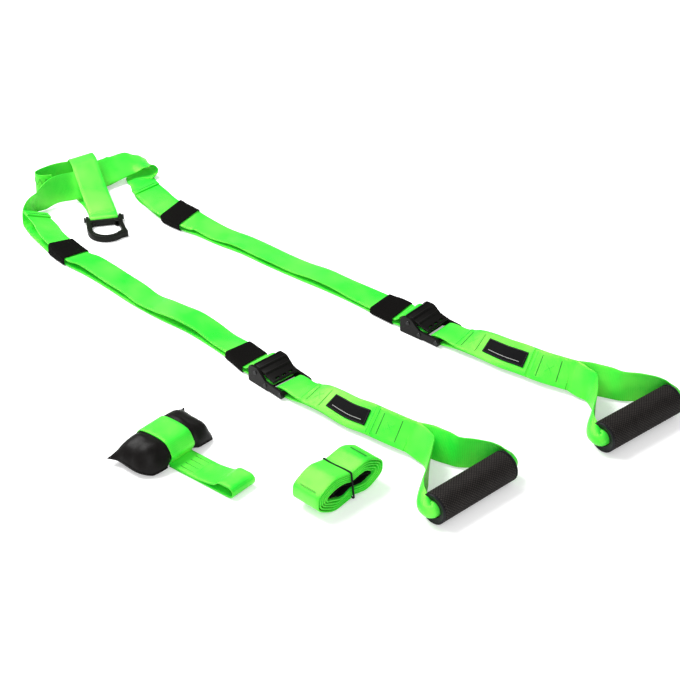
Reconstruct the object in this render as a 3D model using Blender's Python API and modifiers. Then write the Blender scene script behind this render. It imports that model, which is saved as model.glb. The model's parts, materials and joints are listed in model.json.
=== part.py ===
"""Suspension trainer laid out on the floor, with its door anchor and its rolled extension strap.

Metres, +Z up. The legs run along +X from the yoke to the grips. The left leg is on the +Y side.
"""
import bpy
import bmesh
import numpy as np
from math import atan2, ceil, cos, degrees, inf, pi, radians, sin, tan
from mathutils import Matrix, Vector

# Webbing and clearances
WEB_WIDTH = 0.038
WEB_THICK = 0.0018
CLEAR = 0.0003
SEW_GAP = 0.0003
RIBBON_STEP = 0.013

# Legs, from the yoke to the pin of each cam buckle
LEG_LENGTH = 0.490
LEG_WAVE = 0.010
PIN_PLACE = {"right": (-0.005, -0.119), "left": (0.050, 0.091)}
LEG_HEADING = {"right": radians(-3.0), "left": radians(3.5)}
KEEPER_LENGTH = 0.038
KEEPER_THICK = 0.0012
KEEPER_EASE = 0.0012
LOWER_KEEPER_BACK = 0.044
TAB_FOLD = 0.014

# Yoke, placed from the start of the right leg
YOKE_AHEAD = 0.008
YOKE_X = PIN_PLACE["right"][0] - LEG_LENGTH + YOKE_AHEAD
YOKE_Y = 0.012
YOKE_SPAN = 0.200
YOKE_DEPTH = 0.050

# Anchor ring with its bar and gate, placed from the yoke
RING_AHEAD = 0.050
RING_ASIDE = 0.024
RING_PLACE = (YOKE_X + RING_AHEAD, YOKE_Y - RING_ASIDE)
RING_HEADING = radians(-33.7)
RING_LENGTH = 0.057
RING_WIDTH = 0.052
RING_THICK = 0.0102
RING_EDGE = 0.0016
EYE_BACK = 0.017
EYE_LENGTH = 0.027
EYE_TOP = 0.025
EYE_FOOT = 0.029
BAR_RADIUS = 0.0024
BAR_KNOB = 0.0036
EAR_THICK = 0.0045
GATE_THICK = 0.0056
GATE_WIDTH = 0.0056
GATE_PIN = 0.0011

# Cam buckle
WEB_PLAY = 0.0017
CHEEK_THICK = 0.0033
BASE_THICK = 0.0020
BUCKLE_FRONT = 0.0125
BUCKLE_TOP = 0.0235
REAR_BAR_REACH = 0.045
REAR_BAR_Z = 0.0056
REAR_BAR_RADIUS = 0.0026
REAR_LOBE = 0.0050
TURN_BAR_REACH = 0.018
TURN_BAR_RADIUS = 0.0022
CAM_RADIUS = 0.0053
CAM_PIN_RADIUS = 0.0021
CAM_TEETH = 7
TOOTH_DEPTH = 0.0008
LEVER_REACH = 0.024
TONGUE_REACH = 0.034
TONGUE_WIDTH = 0.015
LEVER_PLATE = 0.0026
LEVER_STEP = 0.0028
LEVER_RIDGE = 0.0009
SPRING_SLOT = 0.0084
SPRING_WIRE = 0.0008
SPRING_TURNS = 3
RIVET_HEAD = 0.0009
RIVET_EXTRA = 0.0009
EDGE_ROUND = 0.0006

# Handle, from the rear bar of the buckle to the axis of the grip
HANDLE_LENGTH = 0.180
HANDLE_DRIFT = {"right": radians(2.0), "left": radians(-0.5)}
EYE_CLOSE = 0.034
LABEL_WIDTH = 0.024
LABEL_START = 0.066
LABEL_END = 0.116
LABEL_THICK = 0.0009
GRIP_LENGTH = 0.120
GRIP_RADIUS = 0.019
GRIP_REACH = {"right": 0.2947, "left": 0.2912}
GRIP_SWAY = {"right": -0.0019, "left": -0.0134}
GRIP_TURN = {"right": radians(0.6), "left": radians(-8.3)}
BORE_RADIUS = 0.0108
CORE_WALL = 0.0022
CAP_LIP = 0.0030
CAP_RIM = 0.0016
CURL_RADIUS = 0.0091
CURL_ANGLE = radians(238)

# Door anchor
PILLOW_PLACE = (0.019, -0.313)
PILLOW_LENGTH = 0.112
PILLOW_WIDTH = 0.062
PILLOW_HEIGHT = 0.036
PILLOW_TURN = radians(4.0)
PILLOW_FLAT = 0.0005
DOOR_LOOP_LENGTH = 0.0985
DOOR_LOOP_RISE = 0.0150
DOOR_LOOP_SEWN = 0.038

# Rolled extension strap
ROLL_PLACE = (0.216, -0.2275)
ROLL_TURNS = 5
ROLL_POINTS = 24
ROLL_CORE_LENGTH = 0.056
ROLL_CORE_THICK = 0.0030
ROLL_WAIST_PITCH = 0.00235
ROLL_LOBE_PITCH = 0.0032
ROLL_END_PITCH = 0.0029
ROLL_LIFT = 0.0003

# Lower edge, then upper edge, of the yoke webbing. Shares of YOKE_DEPTH, YOKE_SPAN and WEB_WIDTH.
YOKE_EDGE_SHARES = (
    (-0.50, -0.3525, 0.06, -0.40, -0.5225, 0.36),
    (-0.74, -0.335, 0.08, -0.44, -0.470, 0.66),
    (-0.68, -0.265, 0.11, -0.58, -0.405, 0.79),
    (-0.54, -0.195, 0.16, -0.72, -0.210, 1.10),
    (-0.36, -0.105, 0.16, -0.66, -0.030, 1.00),
    (-0.24, -0.040, 0.21, -0.54, 0.030, 1.00),
    (-0.26, 0.080, 0.20, -0.72, 0.120, 0.93),
    (-0.26, 0.200, 0.20, -0.76, 0.225, 0.93),
    (-0.22, 0.305, 0.26, -0.80, 0.370, 0.79),
    (-0.18, 0.400, 0.32, -0.76, 0.485, 0.74),
    (-0.08, 0.460, 0.42, -0.74, 0.545, 0.55),
    (0.06, 0.500, 0.49, -0.72, 0.560, 0.475),
    (0.16, 0.530, 0.395, -0.60, 0.595, 0.315),
    (0.20, 0.540, 0.237, -0.52, 0.575, 0.158),
    (0.18, 0.5275, 0.13, -0.48, 0.480, 0.092),
    (0.12, 0.510, 0.08, -0.20, 0.355, 0.066),
    (0.27, 0.5145, 0.05, 0.01, 0.3355, 0.05),
)
# Centre of the second layer of the yoke and how far its top leans in x. Same sizes.
BACKING_SHARES = (
    (-0.86, -0.170, 0.60, 0.00),
    (-1.06, -0.225, 0.58, 0.00),
    (-1.22, -0.240, 0.58, 0.00),
    (-1.36, -0.215, 0.58, 0.00),
    (-1.34, -0.120, 0.60, 0.00),
    (-1.22, -0.045, 0.64, 0.00),
    (-1.04, 0.030, 0.64, -0.15),
    (-0.84, 0.095, 0.57, -0.55),
    (-0.68, 0.160, 0.50, -0.75),
    (-0.62, 0.240, 0.49, -0.82),
    (-0.66, 0.340, 0.48, -1.00),
)
# Centre of the anchor strap, then the heading of its width in degrees. Same sizes.
ANCHOR_SHARES = (
    (-0.26, 0.030, 0.034, 75),
    (-0.04, 0.015, 0.034, 70),
    (0.33, -0.020, 0.036, 64),
    (0.668, -0.0645, 0.040, 57),
)
ANCHOR_TOP_SHARES = (
    (0.32, 0.022, 0.255, 62.7),
    (-0.03, 0.013, 0.53, 76),
    (-0.33, 0.052, 0.88, 80),
    (-0.53, 0.070, 1.14, 82),
    (-0.78, 0.082, 1.24, 84),
    (-1.04, 0.085, 1.25, 85),
    (-1.30, 0.080, 1.12, 84),
    (-1.48, 0.074, 0.82, 83),
    (-1.51, 0.071, 0.42, 82),
    (-1.38, 0.067, 0.13, 82),
    (-1.06, 0.056, 0.045, 80),
    (-0.66, 0.057, 0.034, 76),
    (-0.274, 0.031, 0.034, 75),
)
# Load layer: along the leg, sway to the side. Shares of LEG_LENGTH and WEB_WIDTH.
LOAD_SHARES = {
    "right": ((-1.000, 0.325), (-0.96, 0.17), (-0.90, 0.02), (-0.84, -0.12), (-0.77, -0.16),
              (-0.70, -0.06), (-0.60, -0.04), (-0.50, -0.06), (-0.40, 0.02), (-0.30, 0.18),
              (-0.20, 0.19), (-0.12, 0.12), (-0.06, 0.0)),
    "left": ((-1.042, 0.685), (-1.00, 0.38), (-0.96, 0.26), (-0.90, 0.02), (-0.86, -0.12),
             (-0.80, -0.12), (-0.76, -0.03), (-0.68, 0.0), (-0.60, 0.09), (-0.50, 0.07),
             (-0.40, 0.09), (-0.30, 0.14), (-0.20, 0.13), (-0.12, 0.04), (-0.06, 0.0)),
}
# Tail layer: along the leg, sway, lift over the load layer, tilt of the width in degrees.
# Shares of LEG_LENGTH, WEB_WIDTH and LEG_WAVE.
TAIL_SHARES = {
    "right": ((-0.988, 0.32, 0.30, -22), (-0.95, 0.22, 0.28, -20), (-0.91, 0.05, 0.24, -16),
              (-0.86, -0.07, 0.22, -12), (-0.77, -0.16, 0.14, -6), (-0.73, -0.07, 0.30, -7),
              (-0.67, -0.03, 0.27, -6), (-0.61, -0.04, 0.25, -5), (-0.54, -0.02, 0.10, -6),
              (-0.475, -0.07, 0.02, -6), (-0.415, -0.02, 0.37, -3), (-0.365, 0.04, 0.55, -5),
              (-0.315, 0.15, 0.55, -5), (-0.26, 0.22, 0.20, -7), (-0.195, 0.18, 0.02, -6),
              (-0.135, 0.15, 0.16, -3), (-0.09, 0.07, 0.26, 1), (-0.055, 0.0, 0.32, 3)),
    "left": ((-1.008, 0.40, 0.36, 9), (-0.957, 0.16, 0.36, 13), (-0.92, 0.0, 0.36, 12),
             (-0.88, -0.09, 0.40, 10), (-0.81, -0.18, 0.50, 10), (-0.774, -0.02, 0.34, -2),
             (-0.70, 0.0, 0.06, -3), (-0.63, 0.10, 0.02, -7), (-0.56, 0.10, 0.02, -6),
             (-0.485, 0.07, 0.02, -7), (-0.415, 0.09, 0.02, -6), (-0.345, 0.16, 0.16, -6),
             (-0.275, 0.15, 0.16, -6), (-0.205, 0.13, 0.26, 0), (-0.128, 0.05, 0.26, 3),
             (-0.09, 0.04, 0.28, 6), (-0.055, 0.01, 0.32, 6)),
}
UPPER_KEEPER_SHARE = {"right": -0.814, "left": -0.845}
# Sewn part of the handle: along, sway, rise of its centre, tilt in degrees.
# Shares of HANDLE_LENGTH, WEB_WIDTH and WEB_WIDTH.
HANDLE_SHARES = {
    "right": ((0.0, 0.0, 0.0, 0), (0.09, 0.0, 0.05, 2), (0.23, 0.03, 0.20, 17), (0.36, 0.05, 0.25, 24),
              (0.53, 0.01, 0.30, 38), (0.65, 0.07, 0.36, 45), (0.75, 0.095, 0.39, 49),
              (0.85, 0.13, 0.41, 51), (0.94, 0.20, 0.40, 50), (1.0, 0.26, 0.39, 50)),
    "left": ((0.0, 0.0, 0.0, 0), (0.09, 0.0, 0.06, 2), (0.22, -0.01, 0.22, 20), (0.35, 0.0, 0.28, 32),
             (0.51, -0.04, 0.34, 42), (0.63, 0.01, 0.37, 46), (0.72, 0.035, 0.38, 49),
             (0.83, 0.07, 0.40, 51), (0.93, 0.17, 0.40, 51), (1.0, 0.245, 0.40, 51)),
}
# Loop through the grip, in the frame of the grip: place across and along its axis, height over it,
# lean of the width in those two directions, share of the full curl.
# Shares of GRIP_RADIUS, GRIP_LENGTH and GRIP_RADIUS.
LOOP_SHARES = (
    (-4.80, 0.240, 0.06, -0.25, 0.60, 0.0),
    (-4.21, 0.262, 0.05, -0.40, 0.46, 0.0),
    (-3.59, 0.290, 0.04, -0.32, 0.36, 0.0),
    (-2.97, 0.308, 0.05, -0.18, 0.20, 0.0),
    (-2.54, 0.342, 0.08, -0.14, 0.13, 0.0),
    (-2.12, 0.390, 0.14, -0.07, 0.10, 0.02),
    (-1.63, 0.450, 0.18, 0.0, 0.06, 0.06),
    (-1.20, 0.525, 0.17, 0.0, 0.0, 0.12),
    (-0.74, 0.605, 0.13, 0.0, 0.0, 0.25),
    (-0.18, 0.666, 0.07, 0.0, 0.0, 0.48),
    (0.24, 0.645, 0.02, 0.0, 0.0, 0.74),
    (0.44, 0.590, 0.0, 0.0, 0.0, 0.93),
    (0.478, 0.530, 0.0, 0.0, 0.0, 1.0),
    (0.478, 0.470, 0.0, 0.0, 0.0, 1.0),
    (0.478, 0.250, 0.0, 0.0, 0.0, 1.0),
    (0.478, 0.0, 0.0, 0.0, 0.0, 1.0),
    (0.478, -0.250, 0.0, 0.0, 0.0, 1.0),
    (0.478, -0.470, 0.0, 0.0, 0.0, 1.0),
    (0.478, -0.528, 0.0, 0.0, 0.0, 1.0),
    (0.42, -0.578, 0.0, 0.0, 0.0, 0.92),
    (0.16, -0.622, 0.0, 0.0, 0.0, 0.72),
    (-0.26, -0.634, 0.0, 0.0, 0.0, 0.48),
    (-0.76, -0.588, 0.0, 0.0, 0.0, 0.28),
    (-1.22, -0.480, 0.0, 0.0, 0.0, 0.16),
    (-1.62, -0.345, 0.0, 0.0, 0.0, 0.10),
    (-2.05, -0.205, -0.02, 0.0, 0.0, 0.06),
    (-2.65, -0.070, -0.02, 0.0, 0.06, 0.03),
    (-3.40, 0.045, 0.0, 0.0, 0.22, 0.0),
    (-4.20, 0.120, 0.02, 0.0, 0.42, 0.0),
    (-4.90, 0.145, 0.04, 0.0, 0.62, 0.0),
)
LOOP_STRAIGHT_SHARE = -5.7
LOOP_TURNED_SHARE = -1.3
SPLIT_GAP = 0.0012
# Shoulder of the anchor ring in RING_LENGTH, and how round its eye's closed end is
RING_SHOULDER_SHARE = 0.28
EYE_ROUND_SHARE = 0.8
# Pinch of the pillow's edges, and how far out its rows of points lie
PILLOW_SHAPE_SHARE = 0.085
PILLOW_ROW_SHARES = (0, 0.18, 0.36, 0.66, 1)
# Drop of the door loop's upper layer, and how square the ends and flanks of the wound strap are
DOOR_LOOP_DROP_SHARE = 0.86
ROLL_END_SHARE = 0.75
ROLL_FLANK_SHARE = 0.55
TINY = 1e-9


def clear_scene():
    for obj in list(bpy.data.objects):
        bpy.data.objects.remove(obj, do_unlink=True)


def new_collection(name):
    found = bpy.data.collections.new(name)
    bpy.context.scene.collection.children.link(found)
    return found


clear_scene()
PARTS = new_collection("suspension_trainer")
CUTTERS = new_collection("cutters")


def material(name, colour, roughness, metallic=0.0):
    found = bpy.data.materials.new(name)
    found.use_nodes = True
    shader = found.node_tree.nodes["Principled BSDF"]
    shader.inputs["Base Color"].default_value = (*colour, 1.0)
    shader.inputs["Roughness"].default_value = roughness
    shader.inputs["Metallic"].default_value = metallic
    return found


WEBBING = material("green_webbing", (0.05, 0.92, 0.07), 0.75)
ELASTIC = material("black_elastic", (0.012, 0.011, 0.012), 0.9)
PLASTIC = material("black_plastic", (0.018, 0.018, 0.019), 0.45)
STEEL = material("blackened_steel", (0.06, 0.06, 0.062), 0.35, 0.9)
COATED = material("coated_alloy", (0.02, 0.022, 0.02), 0.4, 0.5)
RUBBER = material("grip_rubber", (0.02, 0.018, 0.018), 0.7)
PATCH = material("label_weave", (0.02, 0.02, 0.02), 0.8)
NYLON = material("pillow_cloth", (0.015, 0.014, 0.014), 0.6)


def empty(name, parent=None, location=(0, 0, 0), turn=(0, 0, 0)):
    """A frame that carries pieces. A moving body's frame lies on its joint's axis."""
    found = bpy.data.objects.new(name, None)
    PARTS.objects.link(found)
    found.parent = parent
    found.location = location
    found.rotation_euler = turn
    return found


def finish(obj, name, finish_material, parent, location=(0, 0, 0), turn=(0, 0, 0), smooth=radians(35)):
    """Names a piece, puts it in its collection under its frame and shades it."""
    obj.name = name
    obj.data.name = name
    for owner in list(obj.users_collection):
        owner.objects.unlink(obj)
    PARTS.objects.link(obj)
    obj.parent = parent
    obj.location = location
    obj.rotation_euler = turn
    obj.data.materials.clear()
    obj.data.materials.append(finish_material)
    obj.data.shade_smooth()
    obj.data.set_sharp_from_angle(angle=smooth)
    return obj


def mesh_object(name, verts, faces):
    mesh = bpy.data.meshes.new(name)
    mesh.from_pydata([tuple(v) for v in verts], [], faces)
    mesh.update()
    obj = bpy.data.objects.new(name, mesh)
    PARTS.objects.link(obj)
    return obj


def as_mesh(obj):
    """A curve object as a welded mesh object in its own axes."""
    bpy.context.view_layer.update()
    evaluated = obj.evaluated_get(bpy.context.evaluated_depsgraph_get())
    mesh = bpy.data.meshes.new_from_object(evaluated)
    work = bmesh.new()
    work.from_mesh(mesh)
    bmesh.ops.remove_doubles(work, verts=work.verts, dist=TINY * 100)
    bmesh.ops.recalc_face_normals(work, faces=work.faces)
    work.to_mesh(mesh)
    work.free()
    found = bpy.data.objects.new(obj.name, mesh)
    PARTS.objects.link(found)
    found.matrix_world = obj.matrix_world
    bpy.data.objects.remove(obj, do_unlink=True)
    return found


def add_modifier(obj, kind, **values):
    found = obj.modifiers.new(kind.lower(), kind)
    for key, value in values.items():
        setattr(found, key, value)
    return found


def rounded(obj, width=EDGE_ROUND, segments=2):
    add_modifier(obj, "BEVEL", width=width, segments=segments, limit_method="ANGLE",
                 angle_limit=radians(40), use_clamp_overlap=True)


def cutter(obj, parent, location=(0, 0, 0), turn=(0, 0, 0)):
    for owner in list(obj.users_collection):
        owner.objects.unlink(obj)
    CUTTERS.objects.link(obj)
    obj.parent = parent
    obj.location = location
    obj.rotation_euler = turn
    obj.hide_render = True
    obj.display_type = "WIRE"
    return obj


def boolean(obj, other, operation):
    add_modifier(obj, "BOOLEAN", operation=operation, object=other, solver="EXACT")


def arc(centre, radius, start, end, count):
    """Points on a round stretch of an outline."""
    found = []
    for step in range(count + 1):
        angle = start + (end - start) * step / count
        found.append((centre[0] + radius * cos(angle), centre[1] + radius * sin(angle)))
    return found


def plate(name, outline, thickness, holes=()):
    """A flat outline with holes, filled and extruded to its thickness, as a mesh in the XY plane."""
    data = bpy.data.curves.new(name, "CURVE")
    data.dimensions = "2D"
    data.fill_mode = "BOTH"
    data.extrude = thickness / 2
    for points in (outline, *holes):
        spline = data.splines.new("POLY")
        spline.points.add(len(points) - 1)
        for point, (x, y) in zip(spline.points, points):
            point.co = (x, y, 0, 1)
        spline.use_cyclic_u = True
    obj = bpy.data.objects.new(name, data)
    PARTS.objects.link(obj)
    return as_mesh(obj)


def block(name, size):
    """A box of the given size about its own centre."""
    bpy.ops.mesh.primitive_cube_add(size=1)
    obj = bpy.context.object
    obj.name = name
    obj.data.transform(Matrix.Diagonal((*size, 1)))
    return obj


def pin(name, radius, length, sides=20):
    """A round bar along Y about its own centre."""
    bpy.ops.mesh.primitive_cylinder_add(vertices=sides, radius=radius, depth=length)
    obj = bpy.context.object
    obj.name = name
    obj.data.transform(Matrix.Rotation(pi / 2, 4, "X"))
    return obj


def turned(name, profile, sides=24):
    """A profile of radius and place turned about Y with a screw. It is open where it ends on the axis."""
    verts = []
    for radius, place in profile:
        verts.append((radius, place, 0))
    edges = [(i, i + 1) for i in range(len(profile) - 1)]
    if profile[0][0] > 0:
        edges.append((len(profile) - 1, 0))
    mesh = bpy.data.meshes.new(name)
    mesh.from_pydata(verts, edges, [])
    obj = bpy.data.objects.new(name, mesh)
    PARTS.objects.link(obj)
    add_modifier(obj, "SCREW", axis="Y", steps=sides, render_steps=sides, use_merge_vertices=True,
                 merge_threshold=TINY * 100)
    return obj


def wire(name, points, radius):
    """A round wire along its points, with filled ends."""
    data = bpy.data.curves.new(name, "CURVE")
    data.dimensions = "3D"
    data.bevel_depth = radius
    data.bevel_resolution = 0
    data.use_fill_caps = True
    spline = data.splines.new("POLY")
    spline.points.add(len(points) - 1)
    for point, place in zip(spline.points, points):
        point.co = (*place, 1)
    obj = bpy.data.objects.new(name, data)
    PARTS.objects.link(obj)
    return as_mesh(obj)


def coil_points(radius, pitch, turns, per_turn=12):
    """Points of a coil about the Y axis, centred on the origin."""
    found = []
    for step in range(turns * per_turn + 1):
        angle = 2 * pi * step / per_turn
        climb = pitch * (step / per_turn - turns / 2)
        found.append((radius * cos(angle), climb, radius * sin(angle)))
    return found


def smooth_rows(rows, longest=RIBBON_STEP):
    """Rows that start with x, y, z, on one smooth curve through the given ones."""
    rows = [np.array(row, dtype=float) for row in rows]
    times = [0.0]
    for before, after in zip(rows, rows[1:]):
        times.append(times[-1] + max(float(np.linalg.norm(after[:3] - before[:3])), TINY))
    slopes = []
    for i in range(len(rows)):
        low = max(i - 1, 0)
        high = min(i + 1, len(rows) - 1)
        slopes.append((rows[high] - rows[low]) / (times[high] - times[low]))
    found = []
    for i in range(len(rows) - 1):
        span = times[i + 1] - times[i]
        count = max(1, ceil(span / longest))
        for step in range(count):
            t = step / count
            found.append((2 * t**3 - 3 * t**2 + 1) * rows[i]
                         + (t**3 - 2 * t**2 + t) * span * slopes[i]
                         + (3 * t**2 - 2 * t**3) * rows[i + 1]
                         + (t**3 - t**2) * span * slopes[i + 1])
    found.append(rows[-1])
    return found


def frames_along(rows):
    """Centre, width direction, normal and curl of each row of x, y, z, width direction, curl."""
    found = []
    for i, row in enumerate(rows):
        before = rows[max(i - 1, 0)]
        after = rows[min(i + 1, len(rows) - 1)]
        tangent = Vector(after[:3] - before[:3]).normalized()
        across = Vector(row[3:6])
        across = (across - tangent * across.dot(tangent)).normalized()
        found.append((Vector(row[:3]), across, tangent.cross(across), row[6]))
    return found


def strip(name, frames, width, thickness, columns=1, folded_rows=0):
    """Webbing: an open strip through its frames, thickened on both sides.

    The rows before folded_rows run back under the others and are split along the same diagonals."""
    verts = []
    for centre, across, normal, curl in frames:
        for column in range(columns + 1):
            side = (column / columns - 1 / 2) * width
            if curl > radians(1):
                radius = width / curl
                bend = side / radius
                verts.append(centre + across * radius * sin(bend) + normal * radius * (1 - cos(bend)))
            else:
                verts.append(centre + across * side)
    faces = []
    for row in range(len(frames) - 1):
        for column in range(columns):
            first = row * (columns + 1) + column
            ahead = first + columns + 1
            if row < folded_rows:
                faces += [(first, first + 1, ahead), (first + 1, ahead + 1, ahead)]
            else:
                faces += [(first, first + 1, ahead + 1), (first, ahead + 1, ahead)]
    obj = mesh_object(name, verts, faces)
    add_modifier(obj, "SOLIDIFY", thickness=thickness, offset=0)
    return obj


def webbing(name, rows, parent, columns=1, longest=RIBBON_STEP, floor_z=0.0):
    """One length of webbing through rows of x, y, z, width direction and curl, kept above the floor."""
    frames = frames_along(smooth_rows(rows, longest))
    for centre, across, normal, curl in frames:
        reach = WEB_WIDTH / 2 * abs(across.z) + WEB_THICK / 2 * abs(normal.z)
        centre.z = max(centre.z, floor_z + reach + CLEAR)
    return finish(strip(name, frames, WEB_WIDTH, WEB_THICK, columns), name, WEBBING, parent)


# Places and heights that follow from the driving sizes
FLOOR_LAYER_Z = CLEAR + WEB_THICK / 2
KEPT_LAYER_Z = KEEPER_THICK + CLEAR + WEB_THICK / 2
LAYER_STEP = WEB_THICK + CLEAR
LOAD_Z = BASE_THICK + CLEAR + WEB_THICK / 2
TURN_Z = LOAD_Z + WEB_THICK / 2 + CLEAR + TURN_BAR_RADIUS
TURN_PATH = TURN_BAR_RADIUS + CLEAR + WEB_THICK / 2
RETURN_Z = TURN_Z + TURN_PATH
PIN_Z = RETURN_Z + WEB_THICK / 2 + CLEAR + CAM_RADIUS
BUCKLE_INNER = WEB_WIDTH + 2 * WEB_PLAY
BUCKLE_OUTER = BUCKLE_INNER + 2 * CHEEK_THICK
WEB_JOIN_X = -BUCKLE_FRONT - CHEEK_THICK - KEEPER_THICK
WEB_STRAIGHT = CHEEK_THICK
KEEPER_HALF = KEEPER_LENGTH / 2
RING_Z = RING_THICK / 2
SIDES = ("right", "left")


def yoke_point(x_share, y_share, z_share):
    return (YOKE_X + x_share * YOKE_DEPTH, YOKE_Y + y_share * YOKE_SPAN, z_share * WEB_WIDTH)


def leg_start(side):
    """Middle, width direction and heading of the start of a leg's load layer, in the plan of the set."""
    rows = [(*row, 0, 1, 0, 0) for row in load_rows(side)]
    samples = smooth_rows(rows)
    centre, across, normal, curl = frames_along(samples)[0]
    turn = Matrix.Rotation(LEG_HEADING[side], 3, "Z")
    ahead = Vector(samples[1][:3] - samples[0][:3]).normalized()
    return turn @ centre + Vector((*PIN_PLACE[side], 0)), turn @ across, turn @ ahead


def build_yoke(root):
    """The yoke webbing runs from the start of one leg to the start of the other."""
    rows = []
    for x1, y1, z1, x2, y2, z2 in YOKE_EDGE_SHARES:
        low = Vector(yoke_point(x1, y1, z1))
        high = Vector(yoke_point(x2, y2, z2))
        rows.append((*((low + high) / 2), *(high - low).normalized(), 0))
    for side, first in (("right", True), ("left", False)):
        centre, across, ahead = leg_start(side)
        pair = [(*(centre - ahead * away), *-across, 0) for away in (SEW_GAP, WEB_THICK * 3)]
        rows = pair + rows if first else rows + pair[::-1]
    webbing("yoke_strap", rows, root)
    rows = []
    for x, y, z, lean in BACKING_SHARES:
        rows.append((*yoke_point(x, y, z), lean, 0, 1, 0))
    webbing("yoke_backing", rows, root)


def build_anchor_strap(root):
    """The loop that hangs the yoke on the bar of the anchor ring."""
    ahead = Vector((cos(RING_HEADING), sin(RING_HEADING), 0))
    beside = Vector((-sin(RING_HEADING), cos(RING_HEADING), 0))
    bar = Vector((*RING_PLACE, RING_Z))
    reach = BAR_RADIUS + CLEAR + WEB_THICK / 2
    rows = []
    for x, y, z, heading in ANCHOR_SHARES:
        rows.append((*yoke_point(x, y, z), cos(radians(heading)), sin(radians(heading)), 0, 0))
    before = bar - ahead * 2 * reach
    rows.append((*(before - Vector((0, 0, reach))), *beside, 0))
    for step in range(7):
        angle = -pi / 2 + pi * step / 6
        place = bar + ahead * reach * cos(angle) + Vector((0, 0, reach * sin(angle)))
        rows.append((*place, *beside, 0))
    rows.append((*(before + Vector((0, 0, reach))), *beside, 0))
    for x, y, z, heading in ANCHOR_TOP_SHARES:
        rows.append((*yoke_point(x, y, z), cos(radians(heading)), sin(radians(heading)), 0, 0))
    webbing("anchor_strap", rows, root)


def ring_outline():
    """The ring from the end of its crossbar round its closed side to the nose that the gate meets."""
    half = RING_WIDTH / 2
    shoulder = RING_LENGTH * RING_SHOULDER_SHARE
    foot = RING_LENGTH - half
    crossbar = EYE_BACK - 2 * BAR_RADIUS
    ear_in = WEB_WIDTH / 2 + 4 * CLEAR
    ear_out = ear_in + EAR_THICK
    lobe = BAR_KNOB + CLEAR
    eye_foot = EYE_BACK + EYE_LENGTH
    points = [(crossbar - EAR_THICK, -ear_in), (-lobe / 2, -ear_in), (-lobe, -ear_in - EAR_THICK / 3),
              (-lobe, -ear_out + EAR_THICK / 4), (-lobe / 2, -ear_out), (shoulder / 2, -ear_out),
              (shoulder, -half)]
    for x, y in arc((foot, 0), half, -pi / 2, radians(48), 11):
        points.append((x, y))
    nose_x = foot + half * cos(radians(56))
    points.append((nose_x, half))
    points.append((nose_x - GATE_WIDTH, half + CLEAR))
    points.append((nose_x - GATE_WIDTH, half - GATE_WIDTH - CLEAR))
    inner = EYE_FOOT / 2
    deep = inner * EYE_ROUND_SHARE
    for x, y in arc((eye_foot - deep, 0), deep, radians(50), -pi / 2, 8):
        points.append((x, y / EYE_ROUND_SHARE))
    points.append((EYE_BACK + EAR_THICK, -EYE_TOP / 2))
    points.append((EYE_BACK, -EYE_TOP / 2 + EAR_THICK))
    points.append((EYE_BACK, half - GATE_WIDTH * 2))
    points.append((EYE_BACK, half - GATE_WIDTH / 2))
    points.append((shoulder - EAR_THICK / 2, ear_out))
    points.append((-lobe / 2, ear_out))
    points.append((-lobe, ear_out - EAR_THICK / 4))
    points.append((-lobe, ear_in + EAR_THICK / 3))
    points.append((-lobe / 2, ear_in))
    points.append((crossbar - EAR_THICK, ear_in))
    return points, nose_x


def build_carabiner(frame, gate_frame, gate_place):
    outline, nose_x = ring_outline()
    ring = plate("carabiner_ring", outline, RING_THICK)
    ears = cutter(pin("ear_bore", BAR_RADIUS + CLEAR, RING_WIDTH * 2), frame)
    boolean(ring, ears, "DIFFERENCE")
    slot_size = (GATE_WIDTH * 2 + 8 * CLEAR, GATE_WIDTH * 3, GATE_THICK + 2 * CLEAR)
    slot = cutter(block("gate_slot", slot_size), frame,
                  (gate_place[0] + GATE_WIDTH / 2, gate_place[1] + GATE_WIDTH / 3, 0))
    boolean(ring, slot, "DIFFERENCE")
    pin_bore = pin("gate_pin_bore", GATE_PIN + CLEAR, RING_THICK * 2, 12)
    pin_bore.data.transform(Matrix.Rotation(pi / 2, 4, "X"))
    boolean(ring, cutter(pin_bore, frame, (*gate_place, 0)), "DIFFERENCE")
    rounded(ring, RING_EDGE, 1)
    finish(ring, "carabiner_ring", COATED, frame)

    length = WEB_WIDTH + 2 * (4 * CLEAR + EAR_THICK) + 2 * CLEAR
    head = EAR_THICK / 2
    profile = [(0, -length / 2 - head), (BAR_KNOB, -length / 2 - head), (BAR_KNOB, -length / 2),
               (BAR_RADIUS, -length / 2), (BAR_RADIUS, length / 2), (BAR_KNOB, length / 2),
               (BAR_KNOB, length / 2 + head), (0, length / 2 + head)]
    bar = turned("carabiner_bar", profile[::-1], 20)
    finish(bar, "carabiner_bar", STEEL, frame)

    reach = nose_x - GATE_WIDTH - gate_place[0] - CLEAR
    half = GATE_WIDTH / 2
    lean = atan2(RING_WIDTH / 2 - half - gate_place[1], reach)
    body = arc((0, 0), half, pi / 2, 3 * pi / 2, 8)
    body += [(reach - half, -half), (reach - CLEAR * 2, -half / 2), (reach - CLEAR * 2, half)]
    hole = arc((0, 0), GATE_PIN + CLEAR, 0, 2 * pi * 11 / 12, 11)
    gate = plate("carabiner_gate", body, GATE_THICK, [hole])
    rounded(gate)
    finish(gate, "carabiner_gate", COATED, gate_frame, (0, 0, 0), (0, 0, lean))
    gate_pin = pin("carabiner_gate_pin", GATE_PIN, RING_THICK - 2 * CLEAR, 12)
    gate_pin.data.transform(Matrix.Rotation(pi / 2, 4, "X"))
    finish(gate_pin, "carabiner_gate_pin", STEEL, frame, (*gate_place, 0))


def lerp(rows, x):
    """Row of a table of places at x, on straight lines between its rows."""
    xs = [row[0] for row in rows]
    return [float(np.interp(x, xs, [row[k] for row in rows])) for k in range(1, len(rows[0]))]


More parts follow.
